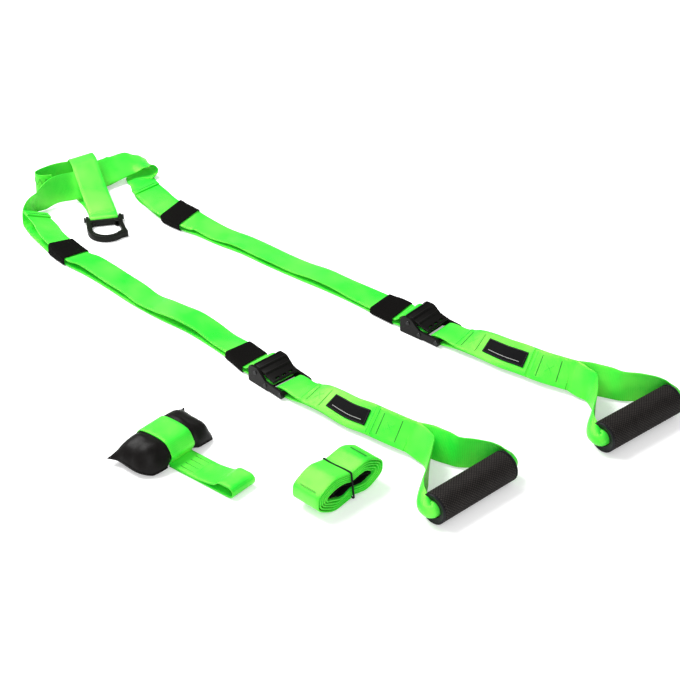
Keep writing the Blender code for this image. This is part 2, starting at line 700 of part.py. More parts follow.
def with_places(places, fixed):
    """Places in order with the fixed ones among them, and none of the others close beside those."""
    kept = [x for x in places if min(abs(x - other) for other in fixed) > RIBBON_STEP / 2]
    return sorted(kept + fixed)


def bump(x, centre, half, ease):
    """1 within half of the centre, falling smoothly to 0 over ease."""
    away = (abs(x - centre) - half) / ease
    away = min(max(away, 0), 1)
    return 1 - away * away * (3 - 2 * away)


def load_rows(side):
    """The load layer lies on the floor, a little up where a keeper runs under it."""
    table = LOAD_SHARES[side]
    centres = (UPPER_KEEPER_SHARE[side] * LEG_LENGTH, -LOWER_KEEPER_BACK)
    fixed = []
    for centre in centres:
        fixed += [centre - KEEPER_HALF, centre + KEEPER_HALF]
    rows = []
    for x in with_places([row[0] * LEG_LENGTH for row in table], fixed):
        kept = max(bump(x, centre, KEEPER_HALF + CLEAR, KEEPER_LENGTH) for centre in centres)
        height = FLOOR_LAYER_Z + kept * (KEPT_LAYER_Z - FLOOR_LAYER_Z)
        rows.append((x, lerp(table, x / LEG_LENGTH)[0] * WEB_WIDTH, height))
    rows.append((WEB_JOIN_X - WEB_STRAIGHT, 0, LOAD_Z))
    rows.append((WEB_JOIN_X, 0, LOAD_Z))
    return rows


def tail_rows(side):
    """The tail layer rides over the load layer in low waves."""
    load = load_rows(side)
    rows = []
    for x_share, sway, lift, tilt in TAIL_SHARES[side]:
        x = x_share * LEG_LENGTH
        rise = lerp(load, x)[1] + LAYER_STEP + lift * LEG_WAVE + WEB_WIDTH / 2 * abs(sin(radians(tilt)))
        rows.append((x, sway * WEB_WIDTH, rise, tilt))
    rows.append((WEB_JOIN_X - WEB_STRAIGHT, 0, RETURN_Z, 0))
    rows.append((WEB_JOIN_X, 0, RETURN_Z, 0))
    return rows


def leg_webbing(name, rows, parent):
    found = []
    for x, y, z, tilt in rows:
        found.append((x, y, z, 0, cos(radians(tilt)), sin(radians(tilt)), 0))
    return webbing(name, found, parent)


def keeper_ring(x, load, tail):
    """Outline of an elastic band round both layers of webbing at one place along the leg."""
    lift = WEB_THICK / 2 + 3 * CLEAR + KEEPER_THICK / 2
    corner = KEEPER_EASE / 2
    low = KEEPER_THICK / 2
    load_y = lerp(load, x)[0]
    tail_y, tail_z, tilt = lerp(tail, x)
    skew = 0
    for rows in (load, tail):
        skew = max(skew, abs(lerp(rows, x + KEEPER_THICK)[0] - lerp(rows, x - KEEPER_THICK)[0]))
    ease = WEB_WIDTH / 2 / cos(atan2(skew, 2 * KEEPER_THICK)) + KEEPER_EASE
    across = Vector((cos(radians(tilt)), sin(radians(tilt))))
    up = Vector((-across.y, across.x))
    centre = Vector((tail_y, tail_z))
    far = centre + across * ease
    near = centre - across * ease
    ring = [(load_y - ease, low + corner), (load_y - ease + corner, low),
            (load_y + ease - corner, low), (load_y + ease, low + corner)]
    for point in (far + up * (lift - corner), far - across * corner + up * lift,
                  near + across * corner + up * lift, near + up * (lift - corner)):
        ring.append((point.x, point.y))
    return ring


def keeper(name, side, centre_x, parent):
    """An elastic band round both layers, lofted between its two ends."""
    load = smooth_rows(load_rows(side))
    tail = smooth_rows(tail_rows(side))
    verts = []
    stations = 4
    for step in range(stations):
        x = centre_x - KEEPER_HALF + KEEPER_LENGTH * step / (stations - 1)
        ring = keeper_ring(x, load, tail)
        for y, z in ring:
            verts.append((x, y, z))
    faces = []
    count = len(ring)
    for step in range(stations - 1):
        for k in range(count):
            a = step * count + k
            b = step * count + (k + 1) % count
            faces.append((a, b, b + count, a + count))
    obj = mesh_object(name, verts, faces)
    add_modifier(obj, "SOLIDIFY", thickness=KEEPER_THICK, offset=0, use_even_offset=True)
    finish(obj, name, ELASTIC, parent)


def build_tab(side, parent):
    """The end of the tail, folded back on itself and sewn as a pull tab."""
    rows = tail_rows(side)
    x, y, z, tilt = rows[0]
    slope = Vector((rows[1][0] - x, rows[1][1] - y, rows[1][2] - z)).normalized()
    across = Vector((0, cos(radians(tilt)), sin(radians(tilt))))
    across = (across - slope * across.dot(slope)).normalized()
    up = slope.cross(across)
    start = Vector((x, y, z)) - slope * SEW_GAP
    radius = (WEB_THICK + SEW_GAP) / 2
    centre = start - slope * TAB_FOLD + up * radius
    places = [start, start - slope * TAB_FOLD / 2]
    for step in range(7):
        angle = -pi / 2 - pi * step / 6
        places.append(centre + slope * radius * cos(angle) + up * radius * sin(angle))
    places.append(start - slope * TAB_FOLD / 2 + up * 2 * radius)
    places.append(start - slope * TAB_FOLD / 5 + up * 2 * radius)
    found = [(*place, *across, 0) for place in places]
    webbing("tail_tab_" + side, found, parent)


def cheek_outline():
    """One side of the buckle: a lobe round the cam pin and an arm that falls to the rear bar."""
    lobe = BUCKLE_TOP - PIN_Z
    foot = EDGE_ROUND * 2
    points = [(-BUCKLE_FRONT + foot, 0), (-BUCKLE_FRONT, foot), (-BUCKLE_FRONT, PIN_Z - lobe / 2)]
    points += arc((-BUCKLE_FRONT + lobe, BUCKLE_TOP - lobe), lobe, pi, pi / 2, 5)[1:]
    points += arc((lobe / 4, BUCKLE_TOP - lobe), lobe, pi / 2, radians(38), 3)
    points.append((TURN_BAR_REACH, TURN_Z + TURN_PATH + WEB_THICK))
    points += arc((REAR_BAR_REACH, REAR_BAR_Z), REAR_LOBE, radians(100), radians(-90), 8)
    points.append((TURN_BAR_REACH + TURN_PATH * 2, foot))
    points.append((TURN_BAR_REACH + TURN_PATH, 0))
    return points


def circle(centre, radius, count=16):
    return arc(centre, radius, 0, 2 * pi * (count - 1) / count, count - 1)


def cam_outline():
    """Side of the cam lever about its pin: hub with teeth, then the plate that steps down to the rear."""
    top = BUCKLE_TOP - PIN_Z + LEVER_RIDGE
    first = LEVER_REACH / 4
    second = LEVER_REACH * 5 / 8
    middle = top - LEVER_STEP
    low = middle - LEVER_STEP
    points = [(-CAM_RADIUS, top - LEVER_PLATE), (-CAM_RADIUS - LEVER_RIDGE, top - LEVER_RIDGE),
              (-CAM_RADIUS, top), (first - LEVER_RIDGE, top), (first, top - LEVER_RIDGE),
              (first + LEVER_RIDGE, middle), (second - 2 * LEVER_RIDGE, middle),
              (second - LEVER_RIDGE, middle + LEVER_RIDGE), (second, middle + LEVER_RIDGE),
              (second + LEVER_RIDGE, low), (LEVER_REACH - 2 * LEVER_RIDGE, low),
              (LEVER_REACH - LEVER_RIDGE, low + LEVER_RIDGE), (LEVER_REACH, low + LEVER_RIDGE),
              (LEVER_REACH, low - LEVER_PLATE + LEVER_RIDGE), (second, low - LEVER_PLATE + LEVER_RIDGE),
              (CAM_RADIUS, CAM_RADIUS / 5)]
    spread = radians(130)
    start = radians(-25)
    root = CAM_RADIUS - TOOTH_DEPTH
    for tooth in range(CAM_TEETH):
        angle = start - spread * tooth / CAM_TEETH
        step = spread / CAM_TEETH
        points.append((root * cos(angle), root * sin(angle)))
        points.append((CAM_RADIUS * cos(angle - step * 2 / 3), CAM_RADIUS * sin(angle - step * 2 / 3)))
    last = start - spread
    points.append((root * cos(last), root * sin(last)))
    return points


def build_buckle_frame(side, frame, bars):
    """Two cheeks joined by a thin floor and by the round divider between the two layers of webbing."""
    holes = [circle(place, radius + CLEAR) for name, radius, place in bars]
    middle = (BUCKLE_INNER + CHEEK_THICK) / 2
    joined = BUCKLE_INNER + CHEEK_THICK
    cheek = plate("buckle_frame", cheek_outline(), CHEEK_THICK, holes)
    cheek.data.transform(Matrix.Translation((0, -middle, 0)) @ Matrix.Rotation(pi / 2, 4, "X"))
    other = plate("far_cheek", cheek_outline(), CHEEK_THICK, holes)
    other.data.transform(Matrix.Translation((0, middle, 0)) @ Matrix.Rotation(pi / 2, 4, "X"))
    boolean(cheek, cutter(other, frame), "UNION")
    floor_length = BUCKLE_FRONT + TURN_BAR_REACH + TURN_PATH - 2 * EDGE_ROUND
    floor = block("buckle_floor", (floor_length, joined, BASE_THICK - CLEAR / 3))
    floor_place = (floor_length / 2 - BUCKLE_FRONT + EDGE_ROUND, 0, BASE_THICK / 2 + CLEAR / 6)
    boolean(cheek, cutter(floor, frame, floor_place), "UNION")
    radius = (RETURN_Z - LOAD_Z - WEB_THICK) / 2 - 3 * CLEAR
    divider = pin("front_divider", radius, joined, 12)
    divider_place = (-BUCKLE_FRONT + 2 * radius, 0, (RETURN_Z + LOAD_Z) / 2)
    boolean(cheek, cutter(divider, frame, divider_place), "UNION")
    finish(cheek, "buckle_frame_" + side, PLASTIC, frame)


def build_headed_bar(name, radius, place, frame):
    """A bar across the buckle with a domed head outside each cheek."""
    length = BUCKLE_OUTER / 2 + CLEAR
    edge = radius + RIVET_EXTRA
    profile = [(0, -length - RIVET_HEAD), (edge - RIVET_HEAD / 2, -length - RIVET_HEAD), (edge, -length),
               (radius, -length), (radius, length), (edge, length),
               (edge - RIVET_HEAD / 2, length + RIVET_HEAD), (0, length + RIVET_HEAD)]
    finish(turned(name, profile[::-1], 16), name, STEEL, frame, (place[0], 0, place[1]))


def build_lever(side, lever_frame):
    """The toothed cam with its stepped lever, its thumb tongue and the pocket for its spring."""
    hole = circle((0, 0), CAM_PIN_RADIUS + CLEAR)
    lever = plate("cam_lever", cam_outline(), BUCKLE_INNER - 4 * CLEAR, [hole])
    lever.data.transform(Matrix.Rotation(pi / 2, 4, "X"))
    low = BUCKLE_TOP - PIN_Z + LEVER_RIDGE - 2 * LEVER_STEP
    tongue_length = TONGUE_REACH - LEVER_REACH + LEVER_RIDGE
    tongue = block("lever_tongue", (tongue_length, TONGUE_WIDTH, LEVER_PLATE - 2 * LEVER_RIDGE / 3))
    tongue_place = (TONGUE_REACH - tongue_length / 2, 0, low - LEVER_PLATE / 2 + LEVER_RIDGE / 2)
    boolean(lever, cutter(tongue, lever_frame, tongue_place), "UNION")
    pocket_reach = CAM_RADIUS + 3 * CLEAR
    pocket = block("spring_pocket", (pocket_reach * 2, SPRING_SLOT, pocket_reach * 2 - 2 * CLEAR))
    boolean(lever, cutter(pocket, lever_frame, (0, 0, -2 * CLEAR - pocket_reach / 4)), "DIFFERENCE")
    finish(lever, "cam_lever_" + side, PLASTIC, lever_frame)


def build_spring(side, frame):
    """Coil spring round the cam pin, inside the lever's pocket."""
    pitch = (SPRING_SLOT - SPRING_WIRE - 4 * CLEAR) / SPRING_TURNS
    radius = CAM_PIN_RADIUS + CLEAR + SPRING_WIRE / 2
    spring = wire("cam_spring", coil_points(radius, pitch, SPRING_TURNS), SPRING_WIRE / 2)
    finish(spring, "cam_spring_" + side, STEEL, frame, (0, 0, PIN_Z))


def build_buckle_web(side, frame):
    """Webbing from the load layer round the turn bar and back out under the cam."""
    rows = [(WEB_JOIN_X + SEW_GAP, 0, LOAD_Z), (0, 0, LOAD_Z), (TURN_BAR_REACH, 0, LOAD_Z)]
    for step in range(1, 8):
        angle = -pi / 2 + pi * step / 8
        rows.append((TURN_BAR_REACH + TURN_PATH * cos(angle), 0, TURN_Z + TURN_PATH * sin(angle)))
    rows += [(TURN_BAR_REACH, 0, RETURN_Z), (0, 0, RETURN_Z), (WEB_JOIN_X + SEW_GAP, 0, RETURN_Z)]
    webbing("buckle_web_" + side, [(*row, 0, 1, 0, 0) for row in rows], frame)


def build_buckle(side, frame, lever_frame):
    bars = (("cam_pin_" + side, CAM_PIN_RADIUS, (0, PIN_Z)),
            ("turn_bar_" + side, TURN_BAR_RADIUS, (TURN_BAR_REACH, TURN_Z)),
            ("rear_bar_" + side, REAR_BAR_RADIUS, (REAR_BAR_REACH, REAR_BAR_Z)))
    build_buckle_frame(side, frame, bars)
    for name, radius, place in bars:
        build_headed_bar(name, radius, place, frame)
    build_lever(side, lever_frame)
    build_spring(side, frame)
    build_buckle_web(side, frame)


def handle_rows(side):
    """Middle of the sewn part, with a row at each end of its label."""
    table = HANDLE_SHARES[side]
    rows = []
    for x in with_places([row[0] * HANDLE_LENGTH for row in table], [LABEL_START, LABEL_END]):
        sway, rise, tilt = lerp(table, x / HANDLE_LENGTH)
        ease = min(x / EYE_CLOSE, 1)
        drift = x * tan(HANDLE_DRIFT[side]) * ease * ease * (3 - 2 * ease)
        angle = radians(tilt)
        rows.append((x, sway * WEB_WIDTH + drift, rise * WEB_WIDTH, 0, cos(angle), sin(angle), 0))
    return rows


def build_handle_strap(side, frame):
    """Doubled webbing: out over the rear bar, round it, and back under, sewn together past the eye."""
    centre_frames = frames_along(smooth_rows(handle_rows(side)))
    open_by = REAR_BAR_RADIUS + CLEAR + WEB_THICK / 2
    shut_by = (WEB_THICK + SEW_GAP) / 2
    top = []
    bottom = []
    for centre, across, normal, curl in centre_frames:
        ease = min(centre.x / EYE_CLOSE, 1)
        offset = open_by + (shut_by - open_by) * ease * ease * (3 - 2 * ease)
        top.append((centre + normal * offset, across, normal, 0))
        bottom.append((centre - normal * offset, across, -normal, 0))
    turn = []
    across = Vector((0, 1, 0))
    for step in range(1, 6):
        angle = -pi / 2 - pi * step / 6
        outward = Vector((cos(angle), 0, sin(angle)))
        turn.append((outward * open_by, across, outward, 0))
    frames = list(reversed(bottom)) + turn + top
    strap = strip("handle_strap", frames, WEB_WIDTH, WEB_THICK, folded_rows=len(bottom) - 1)
    finish(strap, "handle_strap_" + side, WEBBING, frame)

    rise = shut_by + WEB_THICK / 2 + 2 * CLEAR + LABEL_THICK / 2
    label = []
    for centre, across, normal, curl in centre_frames:
        if LABEL_START - TINY <= centre.x <= LABEL_END + TINY:
            label.append((centre + normal * rise, across, normal, 0))
    patch = strip("handle_label", label, LABEL_WIDTH, LABEL_THICK)
    finish(patch, "handle_label_" + side, PATCH, frame)
    return centre_frames[-1], top[-1], bottom[-1]


def loop_point(side, across_share, along_share, up_share):
    """A place in the frame of the grip, given in the frame of the handle."""
    share = (across_share - LOOP_STRAIGHT_SHARE) / (LOOP_TURNED_SHARE - LOOP_STRAIGHT_SHARE)
    turn = GRIP_TURN[side] * min(max(share, 0), 1)
    across = across_share * GRIP_RADIUS
    along = along_share * GRIP_LENGTH
    height = GRIP_RADIUS - REAR_BAR_Z + up_share * GRIP_RADIUS
    return Vector((GRIP_REACH[side] + across * cos(turn) - along * sin(turn),
                   GRIP_SWAY[side] + across * sin(turn) + along * cos(turn), height))


def build_handle_loop(side, frame, ends):
    """One layer leaves the sewn part on each side and runs through the grip, curled to fit its bore."""
    centre_end, top_end, bottom_end = ends
    turn = GRIP_TURN[side]
    tangent = centre_end[1].cross(centre_end[2]).normalized()
    rows = []
    for end, first in ((bottom_end, True), (top_end, False)):
        place = end[0] + tangent * SEW_GAP
        ahead = place + tangent * SPLIT_GAP * 4
        pair = [(*place, *centre_end[1], 0), (*ahead, *centre_end[1], 0)]
        rows.append(pair if first else pair[::-1])
    middle = []
    for across, along, up, lean_across, lean_along, curl in LOOP_SHARES:
        place = loop_point(side, across, along, up)
        lean = Vector((lean_across * cos(turn) - lean_along * sin(turn),
                       lean_across * sin(turn) + lean_along * cos(turn), 1)).normalized()
        middle.append((*place, *lean, curl * CURL_ANGLE))
    webbing("handle_loop_" + side, rows[0] + middle + rows[1], frame, columns=4, floor_z=-REAR_BAR_Z)


def build_grip(side, frame):
    """Rubber sleeve on a hard core tube, with a lipped cap at each end."""
    half = GRIP_LENGTH / 2
    core = BORE_RADIUS + CORE_WALL
    inner = core + CLEAR
    lip = half - CAP_LIP
    tube = turned("grip_core", [(BORE_RADIUS, lip), (core, lip), (core, -lip), (BORE_RADIUS, -lip)])
    finish(tube, "grip_core_" + side, PLASTIC, frame)
    edge = GRIP_RADIUS - CAP_RIM / 2
    profile = [(inner, lip - CLEAR), (edge, lip - CLEAR), (GRIP_RADIUS, lip - CAP_RIM),
               (GRIP_RADIUS, -lip + CAP_RIM), (edge, -lip + CLEAR), (inner, -lip + CLEAR)]
    finish(turned("grip_sleeve", profile), "grip_sleeve_" + side, RUBBER, frame)
    for name, sign in (("near", -1), ("far", 1)):
        profile = [(BORE_RADIUS, lip + CLEAR), (BORE_RADIUS, half - CAP_RIM),
                   (BORE_RADIUS + CAP_RIM, half - CAP_RIM / 2), (core, half - CAP_RIM / 2),
                   (edge - CAP_RIM, half), (edge, half), (GRIP_RADIUS, half - CAP_RIM / 2),
                   (GRIP_RADIUS, lip + CLEAR)]
        profile = [(radius, sign * place) for radius, place in profile]
        cap = turned("grip_cap", profile if sign > 0 else profile[::-1])
        finish(cap, "grip_cap_" + name + "_" + side, RUBBER, frame)


def build_leg(side, root):
    heading = LEG_HEADING[side]
    leg = empty("leg_frame_" + side, root, (*PIN_PLACE[side], 0), (0, 0, heading))
    slide = empty("buckle_slide_" + side, leg)
    tab_slide = empty("tab_slide_" + side, slide)
    lever_frame = empty("lever_axis_" + side, slide, (0, 0, PIN_Z))
    handle_frame = empty("handle_axis_" + side, slide, (REAR_BAR_REACH, 0, REAR_BAR_Z))
    grip_place = (GRIP_REACH[side], GRIP_SWAY[side], GRIP_RADIUS - REAR_BAR_Z)
    grip_frame = empty("grip_axis_" + side, handle_frame, grip_place, (0, 0, GRIP_TURN[side]))

    leg_webbing("load_strap_" + side, [(*row, 0) for row in load_rows(side)], leg)
    leg_webbing("tail_strap_" + side, tail_rows(side), tab_slide)
    build_tab(side, tab_slide)
    keeper("keeper_upper_" + side, side, UPPER_KEEPER_SHARE[side] * LEG_LENGTH, tab_slide)
    keeper("keeper_lower_" + side, side, -LOWER_KEEPER_BACK, slide)
    build_buckle(side, slide, lever_frame)
    ends = build_handle_strap(side, handle_frame)
    build_handle_loop(side, handle_frame, ends)
    build_grip(side, grip_frame)


def pillow_section(u, v, w, waist):
    """Place across and over the floor of a point of the pillow, from shares of its three sizes."""
    pinch = PILLOW_SHAPE_SHARE
    crown = max((1 - abs(u) ** 3) * (1 - v**4), 0) ** 0.5
    half = PILLOW_HEIGHT / 2 * (pinch + (1 - pinch) * crown) * (1 - pinch * waist)
    wide = PILLOW_WIDTH / 2 * (1 - pinch * (1 - v * v) * (1 - waist) - pinch * waist)
    height = PILLOW_HEIGHT / 2 - pinch * waist * PILLOW_HEIGHT / 2 + w * half
    lowest = PILLOW_FLAT + waist * (WEB_THICK + 2 * CLEAR)
    return u * wide, max(height, lowest) - PILLOW_FLAT


def build_pillow(frame):
    """The stuffed pillow: a crowned box that is drawn in by its strap and pinched along its edges."""
    work = bmesh.new()
    bmesh.ops.create_cube(work, size=2)
    bmesh.ops.subdivide_edges(work, edges=work.edges, cuts=7, use_grid_fill=True)
    strap_share = WEB_WIDTH / PILLOW_LENGTH
    for vert in work.verts:
        u, v, w = vert.co
        side = 1 if v > 0 else -1
        v = side * float(np.interp(abs(v), (0, 1 / 4, 1 / 2, 3 / 4, 1), PILLOW_ROW_SHARES))
        waist = bump(v, 0, PILLOW_ROW_SHARES[2], strap_share / 2)
        x, z = pillow_section(u, v * (1 - waist), w, waist)
        end_in = 1 - PILLOW_SHAPE_SHARE * (1 - u * u)
        vert.co = (x, v * PILLOW_LENGTH / 2 * end_in, z)
    mesh = bpy.data.meshes.new("door_pillow")
    work.to_mesh(mesh)
    work.free()
    pillow = bpy.data.objects.new("door_pillow", mesh)
    PARTS.objects.link(pillow)
    finish(pillow, "door_pillow", NYLON, frame, smooth=radians(60))


def build_wrap(frame):
    """Webbing round the middle of the pillow. Returns where the sewn loop starts beside it."""
    sides = [(-1 + k / 4, -1) for k in range(9)] + [(1, 0)]
    sides += [(1 - k / 4, 1) for k in range(9)] + [(-1, 0)]
    outline = [Vector(pillow_section(u, 0, w, 1)) for u, w in sides]
    reach = CLEAR + WEB_THICK / 2
    rows = []
    count = len(outline)
    for k in range(count):
        ahead = (outline[(k + 1) % count] - outline[k - 1]).normalized()
        place = outline[k] + Vector((ahead.y, -ahead.x)) * reach
        rows.append((place.x, 0, place.y, 0, 1, 0, 0))
    foot, corner = rows[7], rows[8]
    climb = (FLOOR_LAYER_Z + LAYER_STEP + WEB_THICK / 2 - foot[2]) / (corner[2] - foot[2])
    start_x = foot[0] + (corner[0] - foot[0]) * climb + WEB_THICK * 2 / 3 + SEW_GAP
    first = 4
    rows = rows[first:] + rows[:first + 1]
    last = rows[-1]
    rows[-1] = (last[0] - SEW_GAP - CLEAR, *last[1:])
    webbing("door_wrap", rows, frame)
    return start_x


def build_door_loop(frame, start_x):
    """Webbing doubled beside the pillow, open as an eye at its far end."""
    low = FLOOR_LAYER_Z
    end_x = start_x + DOOR_LOOP_LENGTH
    radius = DOOR_LOOP_RISE / 2
    sewn = start_x + DOOR_LOOP_SEWN
    reach = radius - WEB_THICK / 2
    rows = [(start_x, 0, low), (sewn, 0, low), ((sewn + end_x) / 2, 0, low), (end_x - radius, 0, low)]
    for step in range(1, 7):
        angle = -pi / 2 + pi * step / 7
        rows.append((end_x - radius + radius * cos(angle), 0, low + reach + reach * sin(angle)))
    rows += [(end_x - radius, 0, low + 2 * reach),
             (end_x - 3 * radius, 0, low + reach + reach * DOOR_LOOP_DROP_SHARE),
             ((sewn + end_x) / 2, 0, low + reach), (sewn + radius, 0, low + LAYER_STEP + SEW_GAP),
             (sewn, 0, low + LAYER_STEP), (start_x, 0, low + LAYER_STEP)]
    webbing("door_loop", [(*row, 0, 1, 0, 0) for row in rows], frame)


def build_door_anchor(root):
    frame = empty("door_anchor_frame", root, (*PILLOW_PLACE, 0), (0, 0, PILLOW_TURN))
    build_pillow(frame)
    build_door_loop(frame, build_wrap(frame))


def roll_point(turn):
    """Middle of the wound strap after this many turns, in the plane of its spiral."""
    angle = 2 * pi * turn
    gap = ROLL_CORE_THICK / 2 + CLEAR + WEB_THICK / 2
    waist = gap + ROLL_WAIST_PITCH * turn
    lobe = gap + ROLL_LOBE_PITCH * turn + WEB_THICK / 4
    half = ROLL_CORE_LENGTH / 2 + gap + ROLL_END_PITCH * turn
    c, s = cos(angle), sin(angle)
    y = half * (abs(c) ** ROLL_END_SHARE) * (1 if c > 0 else -1)
    along = min(abs(y) / half, 1)
    belly = sin(pi * along) ** 2
    z = (waist + (lobe - waist) * belly) * (abs(s) ** ROLL_FLANK_SHARE) * (1 if s > 0 else -1)
    return Vector((0, y, z))


def least_gap(points, thickness):
    """Least distance between the faces of layers that are half a turn or more apart."""
    least = inf
    for i, first in enumerate(points):
        for j in range(i + ROLL_POINTS // 2, len(points) - 1):
            a, b = points[j], points[j + 1]
            share = min(max((first - a).dot(b - a) / (b - a).length_squared, 0), 1)
            least = min(least, (first - a - (b - a) * share).length)
    return least - thickness


def build_roll(root):
    count = ROLL_TURNS * ROLL_POINTS
    points = [roll_point(step / ROLL_POINTS) for step in range(2, count - ROLL_POINTS // 4 + 1)]
    low = min(point.z for point in points)
    lift = WEB_THICK / 2 - low + ROLL_LIFT
    print("rolled strap: least gap to itself %.2f mm" % (least_gap(points, WEB_THICK) * 1000))
    frame = empty("roll_frame", root, (*ROLL_PLACE, lift))
    rows = [(*point, 1, 0, 0, 0) for point in points]
    strap = strip("extension_roll", frames_along([np.array(row) for row in rows]), WEB_WIDTH, WEB_THICK, 1)
    finish(strap, "extension_roll", WEBBING, frame)
    core = block("extension_core", (WEB_WIDTH, ROLL_CORE_LENGTH - 4 * CLEAR, ROLL_CORE_THICK - 2 * CLEAR))
    rounded(core, EDGE_ROUND)
    finish(core, "extension_core", PATCH, frame)


def shift_to_middle(root):
    """Stands the whole set on z = 0 with the middle of its box over the origin."""
    bpy.context.view_layer.update()
    graph = bpy.context.evaluated_depsgraph_get()
    low = Vector((inf, inf, inf))
    high = -low
    for obj in PARTS.objects:
        if obj.type != "MESH":
            continue
        seen = obj.evaluated_get(graph)
        for vert in seen.data.vertices:
            place = seen.matrix_world @ vert.co
            low = Vector(map(min, low, place))
            high = Vector(map(max, high, place))
    middle = (low + high) / 2
    root.location = (-middle.x, -middle.y, -low.z)
    bpy.context.view_layer.update()
    print("shift", [round(v, 5) for v in root.location], "size", [round(v, 4) for v in high - low])
    for obj in PARTS.objects:
        if obj.type == "EMPTY":
            place = obj.matrix_world.translation
            turn = degrees(obj.matrix_world.to_euler().z)
            print("frame", obj.name, [round(v, 5) for v in place], "turn", round(turn, 3))


def main():
    root = empty("suspension_trainer_root")
    build_yoke(root)
    build_anchor_strap(root)
    ring_frame = empty("carabiner_axis", root, (*RING_PLACE, RING_Z), (0, 0, RING_HEADING))
    gate_place = (EYE_BACK - EAR_THICK, RING_WIDTH / 2 - GATE_WIDTH)
    gate_frame = empty("gate_axis", ring_frame, (*gate_place, 0))
    build_carabiner(ring_frame, gate_frame, gate_place)
    for side in SIDES:
        build_leg(side, root)
    build_door_anchor(root)
    build_roll(root)
    shift_to_middle(root)


main()
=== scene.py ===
"""Suspension trainer laid out on a pale floor: woven webbing, cam buckles, grips, ring and loose items.

Metres, +Z up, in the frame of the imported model. The legs run along +X, the left leg is on the +Y side.
"""

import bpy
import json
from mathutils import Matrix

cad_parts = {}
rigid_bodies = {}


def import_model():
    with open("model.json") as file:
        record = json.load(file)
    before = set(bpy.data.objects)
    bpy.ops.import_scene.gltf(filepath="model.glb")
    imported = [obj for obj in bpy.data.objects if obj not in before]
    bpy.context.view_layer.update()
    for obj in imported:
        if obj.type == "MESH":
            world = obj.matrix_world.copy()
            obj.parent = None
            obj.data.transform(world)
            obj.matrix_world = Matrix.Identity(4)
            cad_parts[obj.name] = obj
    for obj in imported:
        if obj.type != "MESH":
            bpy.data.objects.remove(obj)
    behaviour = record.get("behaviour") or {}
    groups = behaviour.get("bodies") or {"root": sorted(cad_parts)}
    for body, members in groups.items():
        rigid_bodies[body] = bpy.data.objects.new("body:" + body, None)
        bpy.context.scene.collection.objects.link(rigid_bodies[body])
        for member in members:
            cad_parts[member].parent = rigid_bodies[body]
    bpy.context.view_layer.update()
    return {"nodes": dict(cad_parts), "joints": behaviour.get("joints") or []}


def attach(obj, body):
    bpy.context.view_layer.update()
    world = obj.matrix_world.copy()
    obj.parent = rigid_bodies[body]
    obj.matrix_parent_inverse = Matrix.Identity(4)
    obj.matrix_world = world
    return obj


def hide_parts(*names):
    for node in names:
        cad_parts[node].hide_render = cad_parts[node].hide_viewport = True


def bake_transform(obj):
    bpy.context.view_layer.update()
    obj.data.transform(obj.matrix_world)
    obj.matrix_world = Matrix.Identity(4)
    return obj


bl_info = {
    "name": "Suspension Trainer",
    "version": (1, 0, 0),
    "blender": (4, 5, 0),
    "location": "3D View > Sidebar > Trainer",
    "description": "Builds the webbing, buckles, grips and loose items of a suspension trainer",
    "category": "Add Mesh",
}

import json
from math import atan2, ceil, cos, pi, radians, sin, tan

import bmesh
import bpy
import numpy as np
from bpy.props import FloatProperty, FloatVectorProperty, IntProperty, PointerProperty
from mathutils import Matrix, Vector, noise

for _leftover in list(bpy.data.objects):
    bpy.data.objects.remove(_leftover, do_unlink=True)

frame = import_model()
JOINTS = {joint["name"]: joint for joint in frame["joints"]}
SIDES = ("right", "left")

# Sizes shared with the solids
WEB_WIDTH = 0.038
WEB_THICK = 0.0018
CLEAR = 0.0003
SEW_GAP = 0.0003
SPLIT_GAP = 0.0012
LEG_LENGTH = 0.490
LEG_WAVE = 0.010
PIN_PLACE = {"right": (-0.005, -0.119), "left": (0.050, 0.091)}
KEEPER_LENGTH = 0.038
KEEPER_THICK = 0.0012
KEEPER_EASE = 0.0012
TAB_FOLD = 0.014
YOKE_X = -0.487
YOKE_Y = 0.012
YOKE_SPAN = 0.200
YOKE_DEPTH = 0.050
RING_PLACE = (-0.437, -0.012)
RING_HEADING = radians(-33.7)
RING_THICK = 0.0102
RING_LENGTH = 0.057
RING_WIDTH = 0.052
EAR_THICK = 0.0045
GATE_WIDTH = 0.0056
GATE_PIN = 0.0011
GATE_PLACE = (0.0125, 0.0204)
BAR_KNOB = 0.0036
BAR_RADIUS = 0.0024
CHEEK_THICK = 0.0033
BASE_THICK = 0.0020
BUCKLE_FRONT = 0.0125
BUCKLE_INNER = 0.0414
REAR_BAR_RADIUS = 0.0026
REAR_BAR_Z = 0.0056
CAM_RADIUS = 0.0053
CAM_PIN_RADIUS = 0.0021
CAM_TEETH = 7
TOOTH_DEPTH = 0.0008
SPRING_SLOT = 0.0084
TURN_BAR_REACH = 0.018
TURN_BAR_RADIUS = 0.0022
HANDLE_LENGTH = 0.180
HANDLE_DRIFT = {"right": radians(2.0), "left": radians(-0.5)}
EYE_CLOSE = 0.034
LABEL_THICK = 0.0009
GRIP_LENGTH = 0.120
GRIP_RADIUS = 0.019
GRIP_REACH = {"right": 0.2947, "left": 0.2912}
GRIP_SWAY = {"right": -0.0019, "left": -0.0134}
GRIP_TURN = {"right": radians(0.6), "left": radians(-8.3)}
BORE_RADIUS = 0.0108
CORE_WALL = 0.0022
CAP_LIP = 0.0030
CAP_RIM = 0.0016
CURL_ANGLE = radians(238)
LOOP_STRAIGHT_SHARE = -5.7
LOOP_TURNED_SHARE = -1.3
PILLOW_LENGTH = 0.112
PILLOW_WIDTH = 0.062
PILLOW_HEIGHT = 0.036
PILLOW_TURN = radians(4.0)
PILLOW_FLAT = 0.0005
PILLOW_SHAPE_SHARE = 0.085
DOOR_LOOP_LENGTH = 0.0985
DOOR_LOOP_RISE = 0.0150
DOOR_LOOP_SEWN = 0.038
